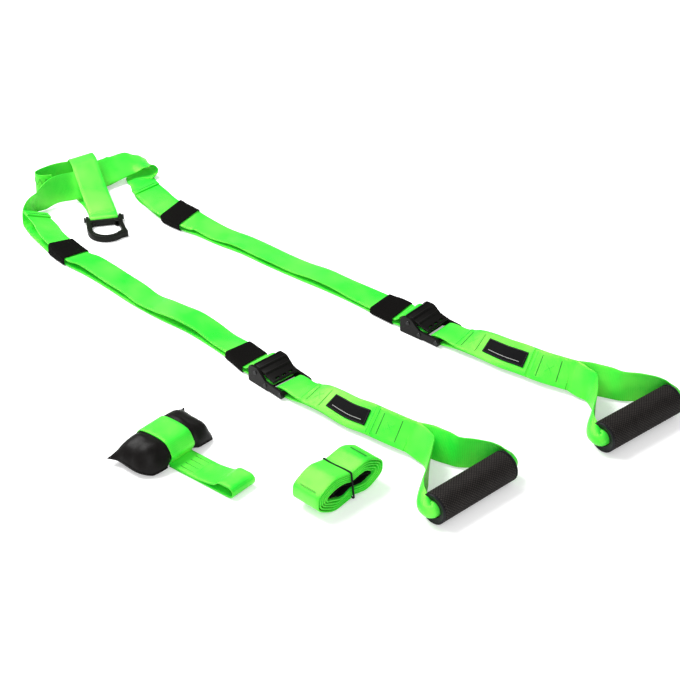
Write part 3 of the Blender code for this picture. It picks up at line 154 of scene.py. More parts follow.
ROLL_TURNS = 5

# Sizes of the shapes that this scene draws for itself
ROW_STEP = 0.0025
FINE_ROW_STEP = 0.0012
OVER_FLOOR = 0.00002
EDGE_ANGLE = radians(28)
LOWER_KEEPER_BACK = 0.0475
TAIL_LIFT = 0.0020
RING_BAND = 0.0066
EYE_BACK = 0.0122
EYE_AHEAD = 0.0128
EYE_RISE = 0.0064
WEB_ARCH = 0.0072
LEVER_POINTS = (
    # x and z round the cam pin, in millimetres
    (-5.2, 4.6), (-6.3, 6.2), (-6.3, 7.9), (-5.5, 8.6), (-4.3, 8.4), (-3.4, 7.4), (2.4, 6.7), (3.3, 7.5),
    (4.7, 7.4), (5.6, 6.3), (6.2, 5.2), (12.4, 3.8), (13.3, 4.6), (14.7, 4.4), (15.5, 3.4), (16.1, 2.3),
    (22.8, 0.3), (27.8, -1.1), (28.8, -0.6), (30.0, -1.0), (30.6, -2.2), (29.9, -3.5), (28.3, -3.8),
    (23.0, -2.3), (15.6, -0.3), (9.0, 1.0), (5.25, 1.1),
)
TEETH_START = -25
TEETH_END = -155
LEVER_SLOTS = (-0.0105, 0.0, 0.0105)
LEVER_SLOT_SIZE = (0.0026, 0.0064, 0.012)
LEVER_SLOT_X = 0.0256
LEVER_SLOT_Z = -0.002
LABEL_WIDTH = 0.0200
LABEL_START = 0.0615
LABEL_END = 0.1215
LABEL_HEM = 0.0012
SEAM_REACH = 0.0165
YOKE_SEAM_START = 0.004
YOKE_SEAM_STEP = 0.0045
YOKE_SEAM_SIDES = (0.003, 0.013)
YOKE_BAR_TACK = 0.0355
ANCHOR_SEAMS = (0.0135, 0.0165)
TAB_SEAM_BACK = (0.0058, 0.0035)
TAB_SEAM_HALF = 0.015
SEAM_GAP = 0.00002
HANDLE_SEAMS = (0.0325, 0.0530, 0.1425, 0.1690)
HANDLE_RIDGES = (0.0270, 0.1290, 0.1350)
RIDGE_HEIGHT = 0.0012
RIDGE_HALF = 0.0010
RIDGE_EASE = 0.0012
ROLL_WIDTH = 0.0405
CORE_WIDTH = ROLL_WIDTH - 0.0008
CORE_THICK = 0.0020
# Roll: half heights at its middle and its lobes and half length, each at the start and grown in one turn
ROLL_WAIST, ROLL_WAIST_STEP = 0.0046, 0.00272
ROLL_LOBE, ROLL_LOBE_STEP = 0.0084, 0.00292
ROLL_END, ROLL_END_STEP = 0.0370, 0.00345
ROLL_SHIFT = (0.0035, -0.0035)
TIE_RADIUS = 0.0011
TIE_CORNER = 0.0022
FLOOR_LAYER_Z = CLEAR + WEB_THICK / 2
KEPT_LAYER_Z = KEEPER_THICK + CLEAR + WEB_THICK / 2
LAYER_STEP = WEB_THICK + CLEAR
LOAD_Z = BASE_THICK + CLEAR + WEB_THICK / 2
TURN_Z = LOAD_Z + WEB_THICK / 2 + CLEAR + TURN_BAR_RADIUS
TURN_PATH = TURN_BAR_RADIUS + CLEAR + WEB_THICK / 2
RETURN_Z = TURN_Z + TURN_PATH
WEB_JOIN_X = -BUCKLE_FRONT - CHEEK_THICK - KEEPER_THICK
KEEPER_HALF = KEEPER_LENGTH / 2

# Tables of places: shares of the sizes named beside them. The yoke's right end, its second layer and the
# handle loops lie a little otherwise than in the solids, as the photograph shows them.
# Yoke: lower edge, then upper edge, in YOKE_DEPTH, YOKE_SPAN and WEB_WIDTH
YOKE_EDGE_SHARES = (
    (-0.50, -0.3525, 0.06, -0.40, -0.5225, 0.36),
    (-0.74, -0.335, 0.08, -0.44, -0.470, 0.66),
    (-0.68, -0.265, 0.11, -0.58, -0.405, 0.79),
    (-0.54, -0.195, 0.16, -0.72, -0.210, 1.10),
    (-0.36, -0.105, 0.16, -0.66, -0.030, 1.00),
    (-0.24, -0.040, 0.21, -0.54, 0.030, 1.00),
    (-0.26, 0.080, 0.20, -0.72, 0.120, 0.93),
    (-0.26, 0.200, 0.20, -0.76, 0.225, 0.93),
    (-0.22, 0.305, 0.26, -0.80, 0.370, 0.79),
    (-0.18, 0.400, 0.30, -0.78, 0.470, 0.73),
    (-0.08, 0.460, 0.37, -0.74, 0.530, 0.52),
    (0.06, 0.500, 0.44, -0.70, 0.560, 0.425),
    (0.16, 0.530, 0.395, -0.60, 0.595, 0.315),
    (0.20, 0.540, 0.237, -0.52, 0.575, 0.158),
    (0.18, 0.5275, 0.13, -0.48, 0.480, 0.092),
    (0.12, 0.510, 0.08, -0.20, 0.355, 0.066),
    (0.27, 0.5145, 0.05, 0.01, 0.3355, 0.05),
)
# Second layer of the yoke: its middle in the same three sizes, and how far its width leans
BACKING_SHARES = (
    (-0.86, -0.170, 0.60, 0.00),
    (-1.06, -0.225, 0.58, 0.00),
    (-1.22, -0.240, 0.58, 0.00),
    (-1.36, -0.215, 0.58, 0.00),
    (-1.34, -0.120, 0.60, 0.00),
    (-1.22, -0.045, 0.64, 0.00),
    (-1.04, 0.030, 0.62, -0.15),
    (-0.84, 0.095, 0.53, -0.55),
    (-0.68, 0.160, 0.44, -0.75),
    (-0.62, 0.240, 0.43, -0.82),
    (-0.66, 0.340, 0.42, -1.00),
)
# Anchor strap under and over the ring's bar: its middle in the same sizes, heading of its width in degrees
ANCHOR_SHARES = (
    (-0.26, 0.030, 0.034, 75),
    (-0.04, 0.015, 0.034, 70),
    (0.33, -0.020, 0.036, 64),
    (0.668, -0.0645, 0.040, 57),
)
ANCHOR_TOP_SHARES = (
    (0.506, -0.058, 0.434, 64),
    (0.032, -0.0045, 0.697, 72),
    (-0.42, 0.0485, 0.987, 75),
    (-0.69, 0.0815, 1.15, 76),
    (-0.86, 0.100, 1.195, 77),
    (-0.97, 0.108, 1.205, 78),
    (-1.03, 0.112, 1.15, 79),
    (-1.06, 0.110, 1.03, 80),
    (-1.10, 0.100, 0.60, 82),
    (-1.13, 0.080, 0.18, 82),
    (-1.00, 0.0575, 0.045, 80),
    (-0.66, 0.057, 0.034, 76),
    (-0.274, 0.031, 0.034, 75),
)
# Load layer: along the leg and sway, in LEG_LENGTH and WEB_WIDTH
LOAD_SHARES = {
    "right": ((-1.000, 0.325), (-0.96, 0.17), (-0.90, 0.02), (-0.84, -0.12), (-0.77, -0.16),
              (-0.70, -0.06), (-0.60, -0.04), (-0.50, -0.06), (-0.40, 0.02), (-0.30, 0.18),
              (-0.20, 0.19), (-0.12, 0.12), (-0.06, 0.0)),
    "left": ((-1.042, 0.685), (-1.00, 0.38), (-0.96, 0.26), (-0.90, 0.02), (-0.86, -0.12),
             (-0.80, -0.12), (-0.76, -0.03), (-0.68, 0.0), (-0.60, 0.09), (-0.50, 0.07),
             (-0.40, 0.09), (-0.30, 0.14), (-0.20, 0.13), (-0.12, 0.04), (-0.06, 0.0)),
}
# Tail layer: along the leg, sway, lift over the load layer in LEG_WAVE, tilt in degrees
TAIL_SHARES = {
    "right": ((-0.988, 0.32, 0.30, -22), (-0.95, 0.22, 0.28, -20), (-0.91, 0.05, 0.24, -16),
              (-0.86, -0.07, 0.22, -12), (-0.77, -0.16, 0.14, -6), (-0.73, -0.07, 0.30, -7),
              (-0.67, -0.03, 0.27, -6), (-0.61, -0.04, 0.25, -5), (-0.54, -0.02, 0.10, -6),
              (-0.475, -0.07, 0.02, -6), (-0.415, -0.02, 0.37, -3), (-0.365, 0.04, 0.55, -5),
              (-0.315, 0.15, 0.55, -5), (-0.26, 0.22, 0.20, -7), (-0.195, 0.18, 0.02, -6),
              (-0.135, 0.15, 0.16, -3), (-0.09, 0.07, 0.26, 1), (-0.055, 0.0, 0.32, 3)),
    "left": ((-1.008, 0.40, 0.36, 9), (-0.957, 0.16, 0.36, 13), (-0.92, 0.0, 0.36, 12),
             (-0.88, -0.09, 0.40, 10), (-0.81, -0.18, 0.50, 10), (-0.774, -0.02, 0.34, -2),
             (-0.70, 0.0, 0.06, -3), (-0.63, 0.10, 0.02, -7), (-0.56, 0.10, 0.02, -6),
             (-0.485, 0.07, 0.02, -7), (-0.415, 0.09, 0.02, -6), (-0.345, 0.16, 0.16, -6),
             (-0.275, 0.15, 0.16, -6), (-0.205, 0.13, 0.26, 0), (-0.128, 0.05, 0.26, 3),
             (-0.09, 0.04, 0.28, 6), (-0.055, 0.01, 0.32, 6)),
}
UPPER_KEEPER_SHARE = {"right": -0.814, "left": -0.845}
# Handle: along, sway, rise, tilt in degrees, in HANDLE_LENGTH, WEB_WIDTH and WEB_WIDTH
HANDLE_SHARES = {
    "right": ((0.0, 0.0, 0.0, 0), (0.09, 0.0, 0.05, 2), (0.23, 0.03, 0.20, 17), (0.36, 0.05, 0.25, 24),
              (0.53, 0.01, 0.30, 38), (0.65, 0.07, 0.36, 45), (0.75, 0.095, 0.39, 49),
              (0.85, 0.13, 0.41, 51), (0.94, 0.20, 0.40, 50), (1.0, 0.26, 0.39, 50)),
    "left": ((0.0, 0.0, 0.0, 0), (0.09, 0.0, 0.06, 2), (0.22, -0.01, 0.22, 20), (0.35, 0.0, 0.28, 32),
             (0.51, -0.04, 0.34, 42), (0.63, 0.01, 0.37, 46), (0.72, 0.035, 0.38, 49),
             (0.83, 0.07, 0.40, 51), (0.93, 0.17, 0.40, 51), (1.0, 0.245, 0.40, 51)),
}
# Loop in the frame of the grip: across, along, up, two leans of the width, share of the curl
LOOP_SHARES = (
    (-4.80, 0.240, 0.06, -0.25, 0.60, 0.0),
    (-4.21, 0.262, 0.05, -0.40, 0.46, 0.0),
    (-3.59, 0.290, 0.04, -0.32, 0.36, 0.0),
    (-2.97, 0.308, 0.05, -0.18, 0.20, 0.0),
    (-2.54, 0.342, 0.08, -0.14, 0.13, 0.0),
    (-2.12, 0.390, 0.14, -0.07, 0.10, 0.02),
    (-1.63, 0.450, 0.18, 0.0, 0.06, 0.10),
    (-1.20, 0.520, 0.15, 0.0, 0.0, 0.26),
    (-0.74, 0.585, 0.10, 0.0, 0.0, 0.52),
    (-0.18, 0.628, 0.04, 0.0, 0.0, 0.82),
    (0.24, 0.612, 0.0, 0.0, 0.0, 1.05),
    (0.44, 0.572, 0.0, 0.0, 0.0, 1.12),
    (0.478, 0.530, 0.0, 0.0, 0.0, 1.06),
    (0.478, 0.470, 0.0, 0.0, 0.0, 1.0),
    (0.478, 0.250, 0.0, 0.0, 0.0, 1.0),
    (0.478, 0.0, 0.0, 0.0, 0.0, 1.0),
    (0.478, -0.250, 0.0, 0.0, 0.0, 1.0),
    (0.478, -0.470, 0.0, 0.0, 0.0, 1.0),
    (0.478, -0.520, 0.0, 0.0, 0.0, 1.08),
    (0.40, -0.556, 0.0, 0.0, 0.0, 1.22),
    (0.14, -0.588, 0.02, 0.0, 0.0, 1.22),
    (-0.26, -0.594, 0.06, 0.0, 0.0, 1.05),
    (-0.76, -0.566, 0.08, 0.0, 0.0, 0.78),
    (-1.24, -0.494, 0.06, 0.0, 0.0, 0.44),
    (-1.70, -0.385, 0.04, 0.0, 0.0, 0.20),
    (-2.17, -0.250, 0.0, 0.0, 0.0, 0.09),
    (-2.78, -0.105, -0.02, 0.0, 0.06, 0.03),
    (-3.50, 0.025, 0.0, 0.0, 0.22, 0.0),
    (-4.20, 0.120, 0.02, 0.0, 0.42, 0.0),
    (-4.90, 0.145, 0.04, 0.0, 0.62, 0.0),
)


class TrainerSizes(bpy.types.PropertyGroup):
    """Sizes of the detail that the scene adds to the solids."""

    stitch_length: FloatProperty(
        name="Stitch length", description="Length of one stitch of the seams",
        default=0.0027, min=0.001, max=0.006, unit="LENGTH")
    thread_radius: FloatProperty(
        name="Thread radius", description="Half the thickness of the sewing thread",
        default=0.00032, min=0.0001, max=0.001, unit="LENGTH")
    weave_pitch: FloatProperty(
        name="Weave pitch", description="Distance between the yarns of the webbing",
        default=0.0012, min=0.0004, max=0.004, unit="LENGTH")
    knurl_depth: FloatProperty(
        name="Knurl depth", description="Height of the diamonds on the grips",
        default=0.00055, min=0.0, max=0.001, unit="LENGTH")
    knurl_along: IntProperty(
        name="Diamonds along", description="Diamonds from one end of a grip to the other",
        default=27, min=6, max=60)
    knurl_around: IntProperty(
        name="Diamonds around", description="Diamonds round a grip", default=32, min=8, max=80)


class TrainerColours(bpy.types.PropertyGroup):
    """Colours of the webbing, thread, elastic, plastic, rubber and pillow cloth."""

    webbing: FloatVectorProperty(
        name="Webbing", description="Colour of the green webbing", subtype="COLOR",
        default=(0.012, 0.84, 0.050), min=0.0, max=1.0)
    # Far darker than the webbing: partly the thread's own green, partly painted shade along the seams
    thread: FloatVectorProperty(
        name="Thread", description="Colour of the sewing thread", subtype="COLOR",
        default=(0.003, 0.13, 0.010), min=0.0, max=1.0)
    elastic: FloatVectorProperty(
        name="Elastic", description="Colour of the elastic keepers", subtype="COLOR",
        default=(0.0030, 0.0026, 0.0024), min=0.0, max=1.0)
    plastic: FloatVectorProperty(
        name="Plastic", description="Colour of the moulded buckles", subtype="COLOR",
        default=(0.005, 0.0047, 0.0043), min=0.0, max=1.0)
    rubber: FloatVectorProperty(
        name="Rubber", description="Colour of the grips", subtype="COLOR",
        default=(0.006, 0.0052, 0.0048), min=0.0, max=1.0)
    cloth: FloatVectorProperty(
        name="Pillow cloth", description="Colour of the door anchor's pillow", subtype="COLOR",
        default=(0.0035, 0.0030, 0.0028), min=0.0, max=1.0)


# Materials

PALE_THREAD = (0.03, 0.62, 0.045)
BLACK_THREAD = (0.03, 0.03, 0.032)
WHITE_THREAD = (0.72, 0.72, 0.70)
CAP_RUBBER = (0.008, 0.0085, 0.010)
CORE_BOARD = (0.01, 0.01, 0.011)
TIE_CORD = (0.008, 0.008, 0.009)
CAST_ALLOY = (0.007, 0.008, 0.006)
DARK_STEEL = (0.035, 0.035, 0.036)
LABEL_DARK = (0.003, 0.003, 0.0035)
LABEL_LIT = (0.007, 0.007, 0.0075)
# Painted shade for the grooves of the grips
GROOVE_PAINTED_SHADE = (0.0006, 0.0005, 0.0005)


def new_material(name, colour, roughness, metallic=0.0, specular=0.5):
    """A material with one shader, its tree and that shader."""
    made = bpy.data.materials.new(name)
    made.use_nodes = True
    tree = made.node_tree
    shader = tree.nodes["Principled BSDF"]
    shader.inputs["Base Color"].default_value = (*colour, 1)
    shader.inputs["Roughness"].default_value = roughness
    shader.inputs["Metallic"].default_value = metallic
    shader.inputs["Specular IOR Level"].default_value = specular
    return made, tree, shader


def put(tree, kind, inputs=None, **settings):
    """A node with its settings, and its inputs linked to sockets or set to values."""
    made = tree.nodes.new(kind)
    for key, value in settings.items():
        setattr(made, key, value)
    for key, value in (inputs or {}).items():
        if isinstance(value, bpy.types.NodeSocket):
            tree.links.new(value, made.inputs[key])
        else:
            made.inputs[key].default_value = value
    return made


def calc(tree, operation, first, second=0.0, third=0.0):
    return put(tree, "ShaderNodeMath", {0: first, 1: second, 2: third}, operation=operation).outputs[0]


def colour_mix(tree, share, first, second):
    made = put(tree, "ShaderNodeMix", {0: share}, data_type="RGBA")
    for socket, value in ((made.inputs[6], first), (made.inputs[7], second)):
        if isinstance(value, bpy.types.NodeSocket):
            tree.links.new(value, socket)
        else:
            socket.default_value = (*value, 1)
    return made.outputs[2]


def noise_of(tree, scale, detail=3.0, where=None, distortion=0.0):
    """Noise from 0 to 1, over the piece's own places where none are given."""
    if where is None:
        where = put(tree, "ShaderNodeTexCoord").outputs["Object"]
    inputs = {"Scale": scale, "Detail": detail, "Distortion": distortion, "Vector": where}
    return put(tree, "ShaderNodeTexNoise", inputs).outputs["Fac"]


def spread_of(tree, value, low, high):
    """The value 0 to 1 moved to the range low to high."""
    return calc(tree, "MULTIPLY_ADD", value, high - low, low)


def paint(tree, shader, colour, roughness):
    tree.links.new(colour, shader.inputs["Base Color"])
    tree.links.new(roughness, shader.inputs["Roughness"])


def relief(tree, shader, height, distance, strength=1.0):
    made = put(tree, "ShaderNodeBump", {"Height": height, "Distance": distance, "Strength": strength})
    tree.links.new(made.outputs["Normal"], shader.inputs["Normal"])


def cloth_places(tree):
    """How far across and along the cloth, in metres, from its map."""
    place = put(tree, "ShaderNodeUVMap", uv_map="cloth").outputs["UV"]
    parts = put(tree, "ShaderNodeSeparateXYZ", {0: place})
    return parts.outputs["X"], parts.outputs["Y"]


def wave(tree, place, pitch):
    """A wave from -1 to 1 along the cloth, zero at every pitch."""
    return calc(tree, "SINE", calc(tree, "MULTIPLY", place, pi / pitch))


def yarns(tree, across, along, pitch_across, pitch_along):
    """Height of a plain weave: one bulge where each yarn comes to the top."""
    crossed = calc(tree, "MULTIPLY", wave(tree, across, pitch_across), wave(tree, along, pitch_along))
    return calc(tree, "ABSOLUTE", crossed)


def webbing_material(sizes, colours):
    """Close-woven webbing: fine ribs across it, a firm edge, satin sheen, painted yarn shade and highlight
    patches.
    """
    made, tree, shader = new_material("webbing_weave", colours.webbing, 0.6, specular=1.0)
    across, along = cloth_places(tree)
    weave = yarns(tree, across, along, sizes.weave_pitch, sizes.weave_pitch * 0.85)
    ribs = wave(tree, along, sizes.weave_pitch * 0.85)
    height = calc(tree, "ADD", calc(tree, "MULTIPLY", weave, 0.7), spread_of(tree, ribs, 0.15, 0.3))
    from_edge = calc(tree, "MINIMUM", across, calc(tree, "SUBTRACT", WEB_WIDTH, across))
    edge = put(tree, "ShaderNodeMapRange", {"Value": from_edge, "From Min": 0.0004, "From Max": 0.0022})
    patches = noise_of(tree, 38.0, 4.0)
    base = tuple(colours.webbing)
    # dark: painted shade between the yarns, where the weave is low; it also darkens a band along each edge
    dark = (base[0] * 0.3, base[1] * 0.6, base[2] * 0.4)
    # light: a brighter, yellower copy of the webbing colour, laid on in broad patches as painted highlight
    light = (base[0] * 4.0 + 0.055, min(base[1] * 1.08, 1.0), base[2] * 1.4)
    highlight_patch_noise = noise_of(tree, 19.0, 2.0)
    woven = colour_mix(tree, calc(tree, "POWER", height, 0.7), dark, base)
    painted_highlight_patches = colour_mix(tree, spread_of(tree, highlight_patch_noise, -1.10, 1.70), woven, light)
    edged = colour_mix(tree, spread_of(tree, edge.outputs[0], 0.65, 1.0), dark, painted_highlight_patches)
    rough = calc(tree, "ADD", spread_of(tree, patches, 0.26, 0.46), calc(tree, "MULTIPLY", weave, -0.08))
    paint(tree, shader, edged, rough)
    soft = noise_of(tree, 90.0, 2.0)
    relief(tree, shader, calc(tree, "ADD", height, calc(tree, "MULTIPLY", soft, 1.2)), 0.00030, 0.65)
    shader.inputs["Sheen Weight"].default_value = 0.10
    shader.inputs["Sheen Roughness"].default_value = 0.40
    shader.inputs["Sheen Tint"].default_value = (1.0, 1.0, 0.15, 1)
    shader.inputs["Specular Tint"].default_value = (1.0, 0.85, 0.22, 1)
    return made


def thread_material(name, colour):
    """Twisted polyester thread with a slight lustre."""
    made, tree, shader = new_material(name, colour, 0.5)
    fibres = noise_of(tree, 2600.0, 2.0)
    dark = tuple(part * 0.55 for part in colour)
    paint(tree, shader, colour_mix(tree, fibres, dark, colour), spread_of(tree, fibres, 0.4, 0.65))
    relief(tree, shader, fibres, 0.00008, 0.6)
    return made


def elastic_material(colours):
    """Knitted elastic: cords lengthwise with a fine rib across them."""
    made, tree, shader = new_material("elastic_knit", colours.elastic, 0.8, specular=0.05)
    cord_pitch, rib_pitch = 0.0013, 0.0009
    across, along = cloth_places(tree)
    cords = calc(tree, "ABSOLUTE", wave(tree, along, cord_pitch))
    weave = yarns(tree, across, along, rib_pitch, cord_pitch)
    height = calc(tree, "ADD", calc(tree, "MULTIPLY", cords, 0.6), calc(tree, "MULTIPLY", weave, 0.5))
    lint = noise_of(tree, 420.0, 5.0)
    lit = tuple(part * 1.7 for part in colours.elastic)
    base = colour_mix(tree, calc(tree, "MULTIPLY", height, 0.5), tuple(colours.elastic), lit)
    worn = colour_mix(tree, spread_of(tree, lint, -0.25, 0.45), base, lit)
    paint(tree, shader, worn, spread_of(tree, lint, 0.68, 0.92))
    relief(tree, shader, height, 0.0003, 0.8)
    return made


def label_material(colours):
    """Woven patch in a fine twill."""
    made, tree, shader = new_material("label_twill", colours.elastic, 0.65, specular=0.06)
    twill_pitch = 0.0007
    across, along = cloth_places(tree)
    slope = calc(tree, "ADD", across, calc(tree, "MULTIPLY", along, 0.8))
    twill = calc(tree, "ABSOLUTE", wave(tree, slope, twill_pitch))
    lint = noise_of(tree, 300.0, 4.0)
    woven = colour_mix(tree, calc(tree, "MULTIPLY", twill, 0.6), LABEL_DARK, LABEL_LIT)
    paint(tree, shader, woven, spread_of(tree, lint, 0.5, 0.8))
    relief(tree, shader, calc(tree, "ADD", twill, lint), 0.00012, 0.8)
    return made


def moulded_material(name, colour, roughness, grain, depth, coat=0.0):
    """Moulded plastic or rubber: fine grain, slightly uneven gloss, lighter where it rubs."""
    made, tree, shader = new_material(name, colour, roughness, specular=0.13)
    fine = noise_of(tree, grain, 3.0)
    broad = noise_of(tree, 60.0, 4.0)
    crests = put(tree, "ShaderNodeNewGeometry").outputs["Pointiness"]
    rubbed = put(tree, "ShaderNodeMapRange", {"Value": crests, "From Min": 0.51, "From Max": 0.60})
    worn = tuple(min(part * 1.8 + 0.002, 1) for part in colour)
    base = colour_mix(tree, calc(tree, "MULTIPLY", rubbed.outputs[0], 0.5), tuple(colour), worn)
    uneven = colour_mix(tree, spread_of(tree, broad, -0.3, 0.3), base, worn)
    paint(tree, shader, uneven, spread_of(tree, broad, roughness - 0.08, roughness + 0.12))
    relief(tree, shader, fine, depth, 0.6)
    shader.inputs["Coat Weight"].default_value = coat
    shader.inputs["Coat Roughness"].default_value = 0.3
    return made


def knurled_material(sizes, colour):
    """Rubber with diamonds: painted shade in the grooves, painted highlight on the crests."""
    made, tree, shader = new_material("grip_rubber_grain", colour, 0.5, specular=0.10)
    around, along = cloth_places(tree)
    length = GRIP_LENGTH - 2 * CAP_LIP - 2 * CAP_RIM
    a = calc(tree, "MULTIPLY_ADD", along, sizes.knurl_along / length, sizes.knurl_along / 2)
    b = calc(tree, "MULTIPLY", around, float(sizes.knurl_around))
    lines = []
    for operation in ("ADD", "SUBTRACT"):
        place = calc(tree, "FRACT", calc(tree, operation, a, b))
        aside = calc(tree, "ABSOLUTE", calc(tree, "SUBTRACT", place, 0.5))
        lines.append(calc(tree, "MULTIPLY", aside, 2.0))
    groove = calc(tree, "POWER", calc(tree, "MAXIMUM", *lines), 1.6)
    grain = noise_of(tree, 1300.0, 3.0)
    dust = noise_of(tree, 90.0, 4.0)
    # crest: the rubber made much lighter on the diamonds' tops as painted highlight; the grooves take
    # painted shade
    crest = tuple(part * 7.0 + 0.008 for part in colour)
    pattern = colour_mix(tree, groove, crest, GROOVE_PAINTED_SHADE)
    dusty = colour_mix(tree, spread_of(tree, dust, -0.1, 0.55), pattern, tuple(colour))
    paint(tree, shader, dusty, spread_of(tree, grain, 0.36, 0.60))
    relief(tree, shader, calc(tree, "SUBTRACT", calc(tree, "MULTIPLY", grain, 0.25), groove), 0.0006)
    return made


def metal_material(name, colour, roughness, metallic, scale):
    """Coated or blackened metal with fine marks from use."""
    made, tree, shader = new_material(name, colour, roughness, metallic, 0.10)
    place = put(tree, "ShaderNodeTexCoord").outputs["Object"]
    drawn = put(tree, "ShaderNodeMapping", {"Vector": place, "Scale": (1.0, 6.0, 1.0)})
    marks = noise_of(tree, scale, 6.0, drawn.outputs[0], 0.4)
    peel = noise_of(tree, 1400.0, 2.0)
    worn = tuple(min(part * 1.6 + 0.005, 1) for part in colour)
    marked = colour_mix(tree, spread_of(tree, marks, -0.45, 0.6), tuple(colour), worn)
    paint(tree, shader, marked, spread_of(tree, marks, roughness - 0.1, roughness + 0.15))
    relief(tree, shader, calc(tree, "ADD", peel, marks), 0.00006, 0.7)
    return made


def pillow_material(colours):
    """Close nylon cloth with soft creases and a dull shine."""
    made, tree, shader = new_material("pillow_nylon", colours.cloth, 0.45, specular=0.11)
    place = put(tree, "ShaderNodeTexCoord").outputs["Object"]
    weave = noise_of(tree, 1500.0, 2.0, place)
    creases = noise_of(tree, 70.0, 5.0, place, 1.4)
    lit = tuple(part * 1.9 for part in colours.cloth)
    paint(tree, shader, colour_mix(tree, creases, tuple(colours.cloth), lit),
          spread_of(tree, creases, 0.30, 0.58))
    height = calc(tree, "ADD", calc(tree, "MULTIPLY", creases, 3.0), calc(tree, "MULTIPLY", weave, 0.35))
    relief(tree, shader, height, 0.0003, 0.35)
    shader.inputs["Sheen Weight"].default_value = 0.02
    return made


MATERIALS = {}


def material_of(kind):
    """The material of a finish, made on its first use."""
    if kind not in MATERIALS:
        sizes = bpy.context.scene.trainer_sizes
        colours = bpy.context.scene.trainer_colours
        plastic = tuple(colours.plastic)
        rubber = tuple(colours.rubber)
        makers = {
            "webbing": lambda: webbing_material(sizes, colours),
            "thread": lambda: thread_material("seam_thread", tuple(colours.thread)),
            "pale_thread": lambda: thread_material("pale_seam_thread", PALE_THREAD),
            "black_thread": lambda: thread_material("black_seam_thread", BLACK_THREAD),
            "white_thread": lambda: thread_material("white_seam_thread", WHITE_THREAD),
            "elastic": lambda: elastic_material(colours),
            "label": lambda: label_material(colours),
            "plastic": lambda: moulded_material("buckle_plastic", plastic, 0.38, 900.0, 0.00006, 0.05),
            "lever": lambda: moulded_material("lever_plastic", plastic, 0.40, 700.0, 0.00008, 0.05),
            "rubber": lambda: knurled_material(sizes, rubber),
            "cap": lambda: moulded_material("cap_rubber", CAP_RUBBER, 0.4, 800.0, 0.00005, 0.05),
            "board": lambda: moulded_material("core_board", CORE_BOARD, 0.55, 500.0, 0.0001),
            "cord": lambda: moulded_material("elastic_cord", TIE_CORD, 0.7, 2000.0, 0.0002),
            "coated": lambda: metal_material("coated_alloy_cast", CAST_ALLOY, 0.36, 0.0, 120.0),
            "steel": lambda: metal_material("blackened_steel_drawn", DARK_STEEL, 0.34, 0.8, 260.0),
            "pillow": lambda: pillow_material(colours),
        }
        MATERIALS[kind] = makers[kind]()
    return MATERIALS[kind]


# Pieces

def linked(name, data):
    """An object with this data, in the scene."""
    made = bpy.data.objects.new(name, data)
    bpy.context.scene.collection.objects.link(made)
    return made


def closed_mesh(name, verts, faces, merge=0.0):
    """A mesh with its faces turned outwards, and points closer than merge made one."""
    mesh = bpy.data.meshes.new(name)
    mesh.from_pydata(verts, [], faces)
    work = bmesh.new()
    work.from_mesh(mesh)
    if merge:
        bmesh.ops.remove_doubles(work, verts=work.verts, dist=merge)
    bmesh.ops.recalc_face_normals(work, faces=work.faces)
    work.to_mesh(mesh)
    work.free()
    return mesh


def soften(made, edge, segments=3):
    """Rounds the sharp edges of a solid."""
    bevel = made.modifiers.new("edge", "BEVEL")
    bevel.width = edge
    bevel.segments = segments
    bevel.limit_method = "ANGLE"
    bevel.angle_limit = EDGE_ANGLE
    bevel.use_clamp_overlap = True


def piece(name, verts, faces, kind, body=None, smooth=radians(50), places=None):
    """A mesh in the model's frame with its finish, and a map in metres where the cloth needs one."""
    mesh = bpy.data.meshes.new(name)
    mesh.from_pydata([tuple(vert) for vert in verts], [], faces)
    mesh.update()
    if places is not None:
        layer = mesh.uv_layers.new(name="cloth")
        layer.data.foreach_set("uv", np.array(places, dtype=np.float32).ravel())
    made = linked(name, mesh)
    mesh.materials.append(material_of(kind))
    mesh.shade_smooth()
    mesh.set_sharp_from_angle(angle=smooth)
    if body is not None:
        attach(made, body)
    return made


def dress(node, kind, edge):
    """A better finish and softer edges for a solid whose shape is right."""
    found = frame["nodes"][node]
    found.data.materials.clear()
    found.data.materials.append(material_of(kind))
    found.data.shade_smooth()
    weld = found.modifiers.new("weld", "WELD")
    weld.merge_threshold = 0.00002
    if edge:
        soften(found, edge)
    weighted = found.modifiers.new("normals", "WEIGHTED_NORMAL")
    weighted.keep_sharp = False
    weighted.weight = 60


def smooth_rows(rows, longest=ROW_STEP):
    """Rows that start with x, y, z, on one smooth curve through the given ones."""
    rows = [np.array(row, dtype=float) for row in rows]
    times = [0.0]
    for before, after in zip(rows, rows[1:]):
        times.append(times[-1] + max(float(np.linalg.norm(after[:3] - before[:3])), 1e-9))
    slopes = []
    for i in range(len(rows)):
        low = max(i - 1, 0)
        high = min(i + 1, len(rows) - 1)
        slopes.append((rows[high] - rows[low]) / (times[high] - times[low]))
    found = []
    for i in range(len(rows) - 1):
        span = times[i + 1] - times[i]
        count = max(1, ceil(span / longest))
        for step in range(count):
            t = step / count
            found.append((2 * t**3 - 3 * t**2 + 1) * rows[i]
                         + (t**3 - 2 * t**2 + t) * span * slopes[i]
                         + (3 * t**2 - 2 * t**3) * rows[i + 1]
                         + (t**3 - t**2) * span * slopes[i + 1])
    found.append(rows[-1])
    return found


def frames_along(rows):
    """Centre, width direction, normal and curl of each row of x, y, z, width direction, curl."""
    found = []
    for i, row in enumerate(rows):
        before = rows[max(i - 1, 0)]
        after = rows[min(i + 1, len(rows) - 1)]
        tangent = Vector(after[:3] - before[:3]).normalized()
        across = Vector(row[3:6])
        across = (across - tangent * across.dot(tangent)).normalized()
        found.append((Vector(row[:3]), across, tangent.cross(across), row[6]))
    return found


def eased(share):
    share = min(max(share, 0.0), 1.0)
    return share * share * (3 - 2 * share)


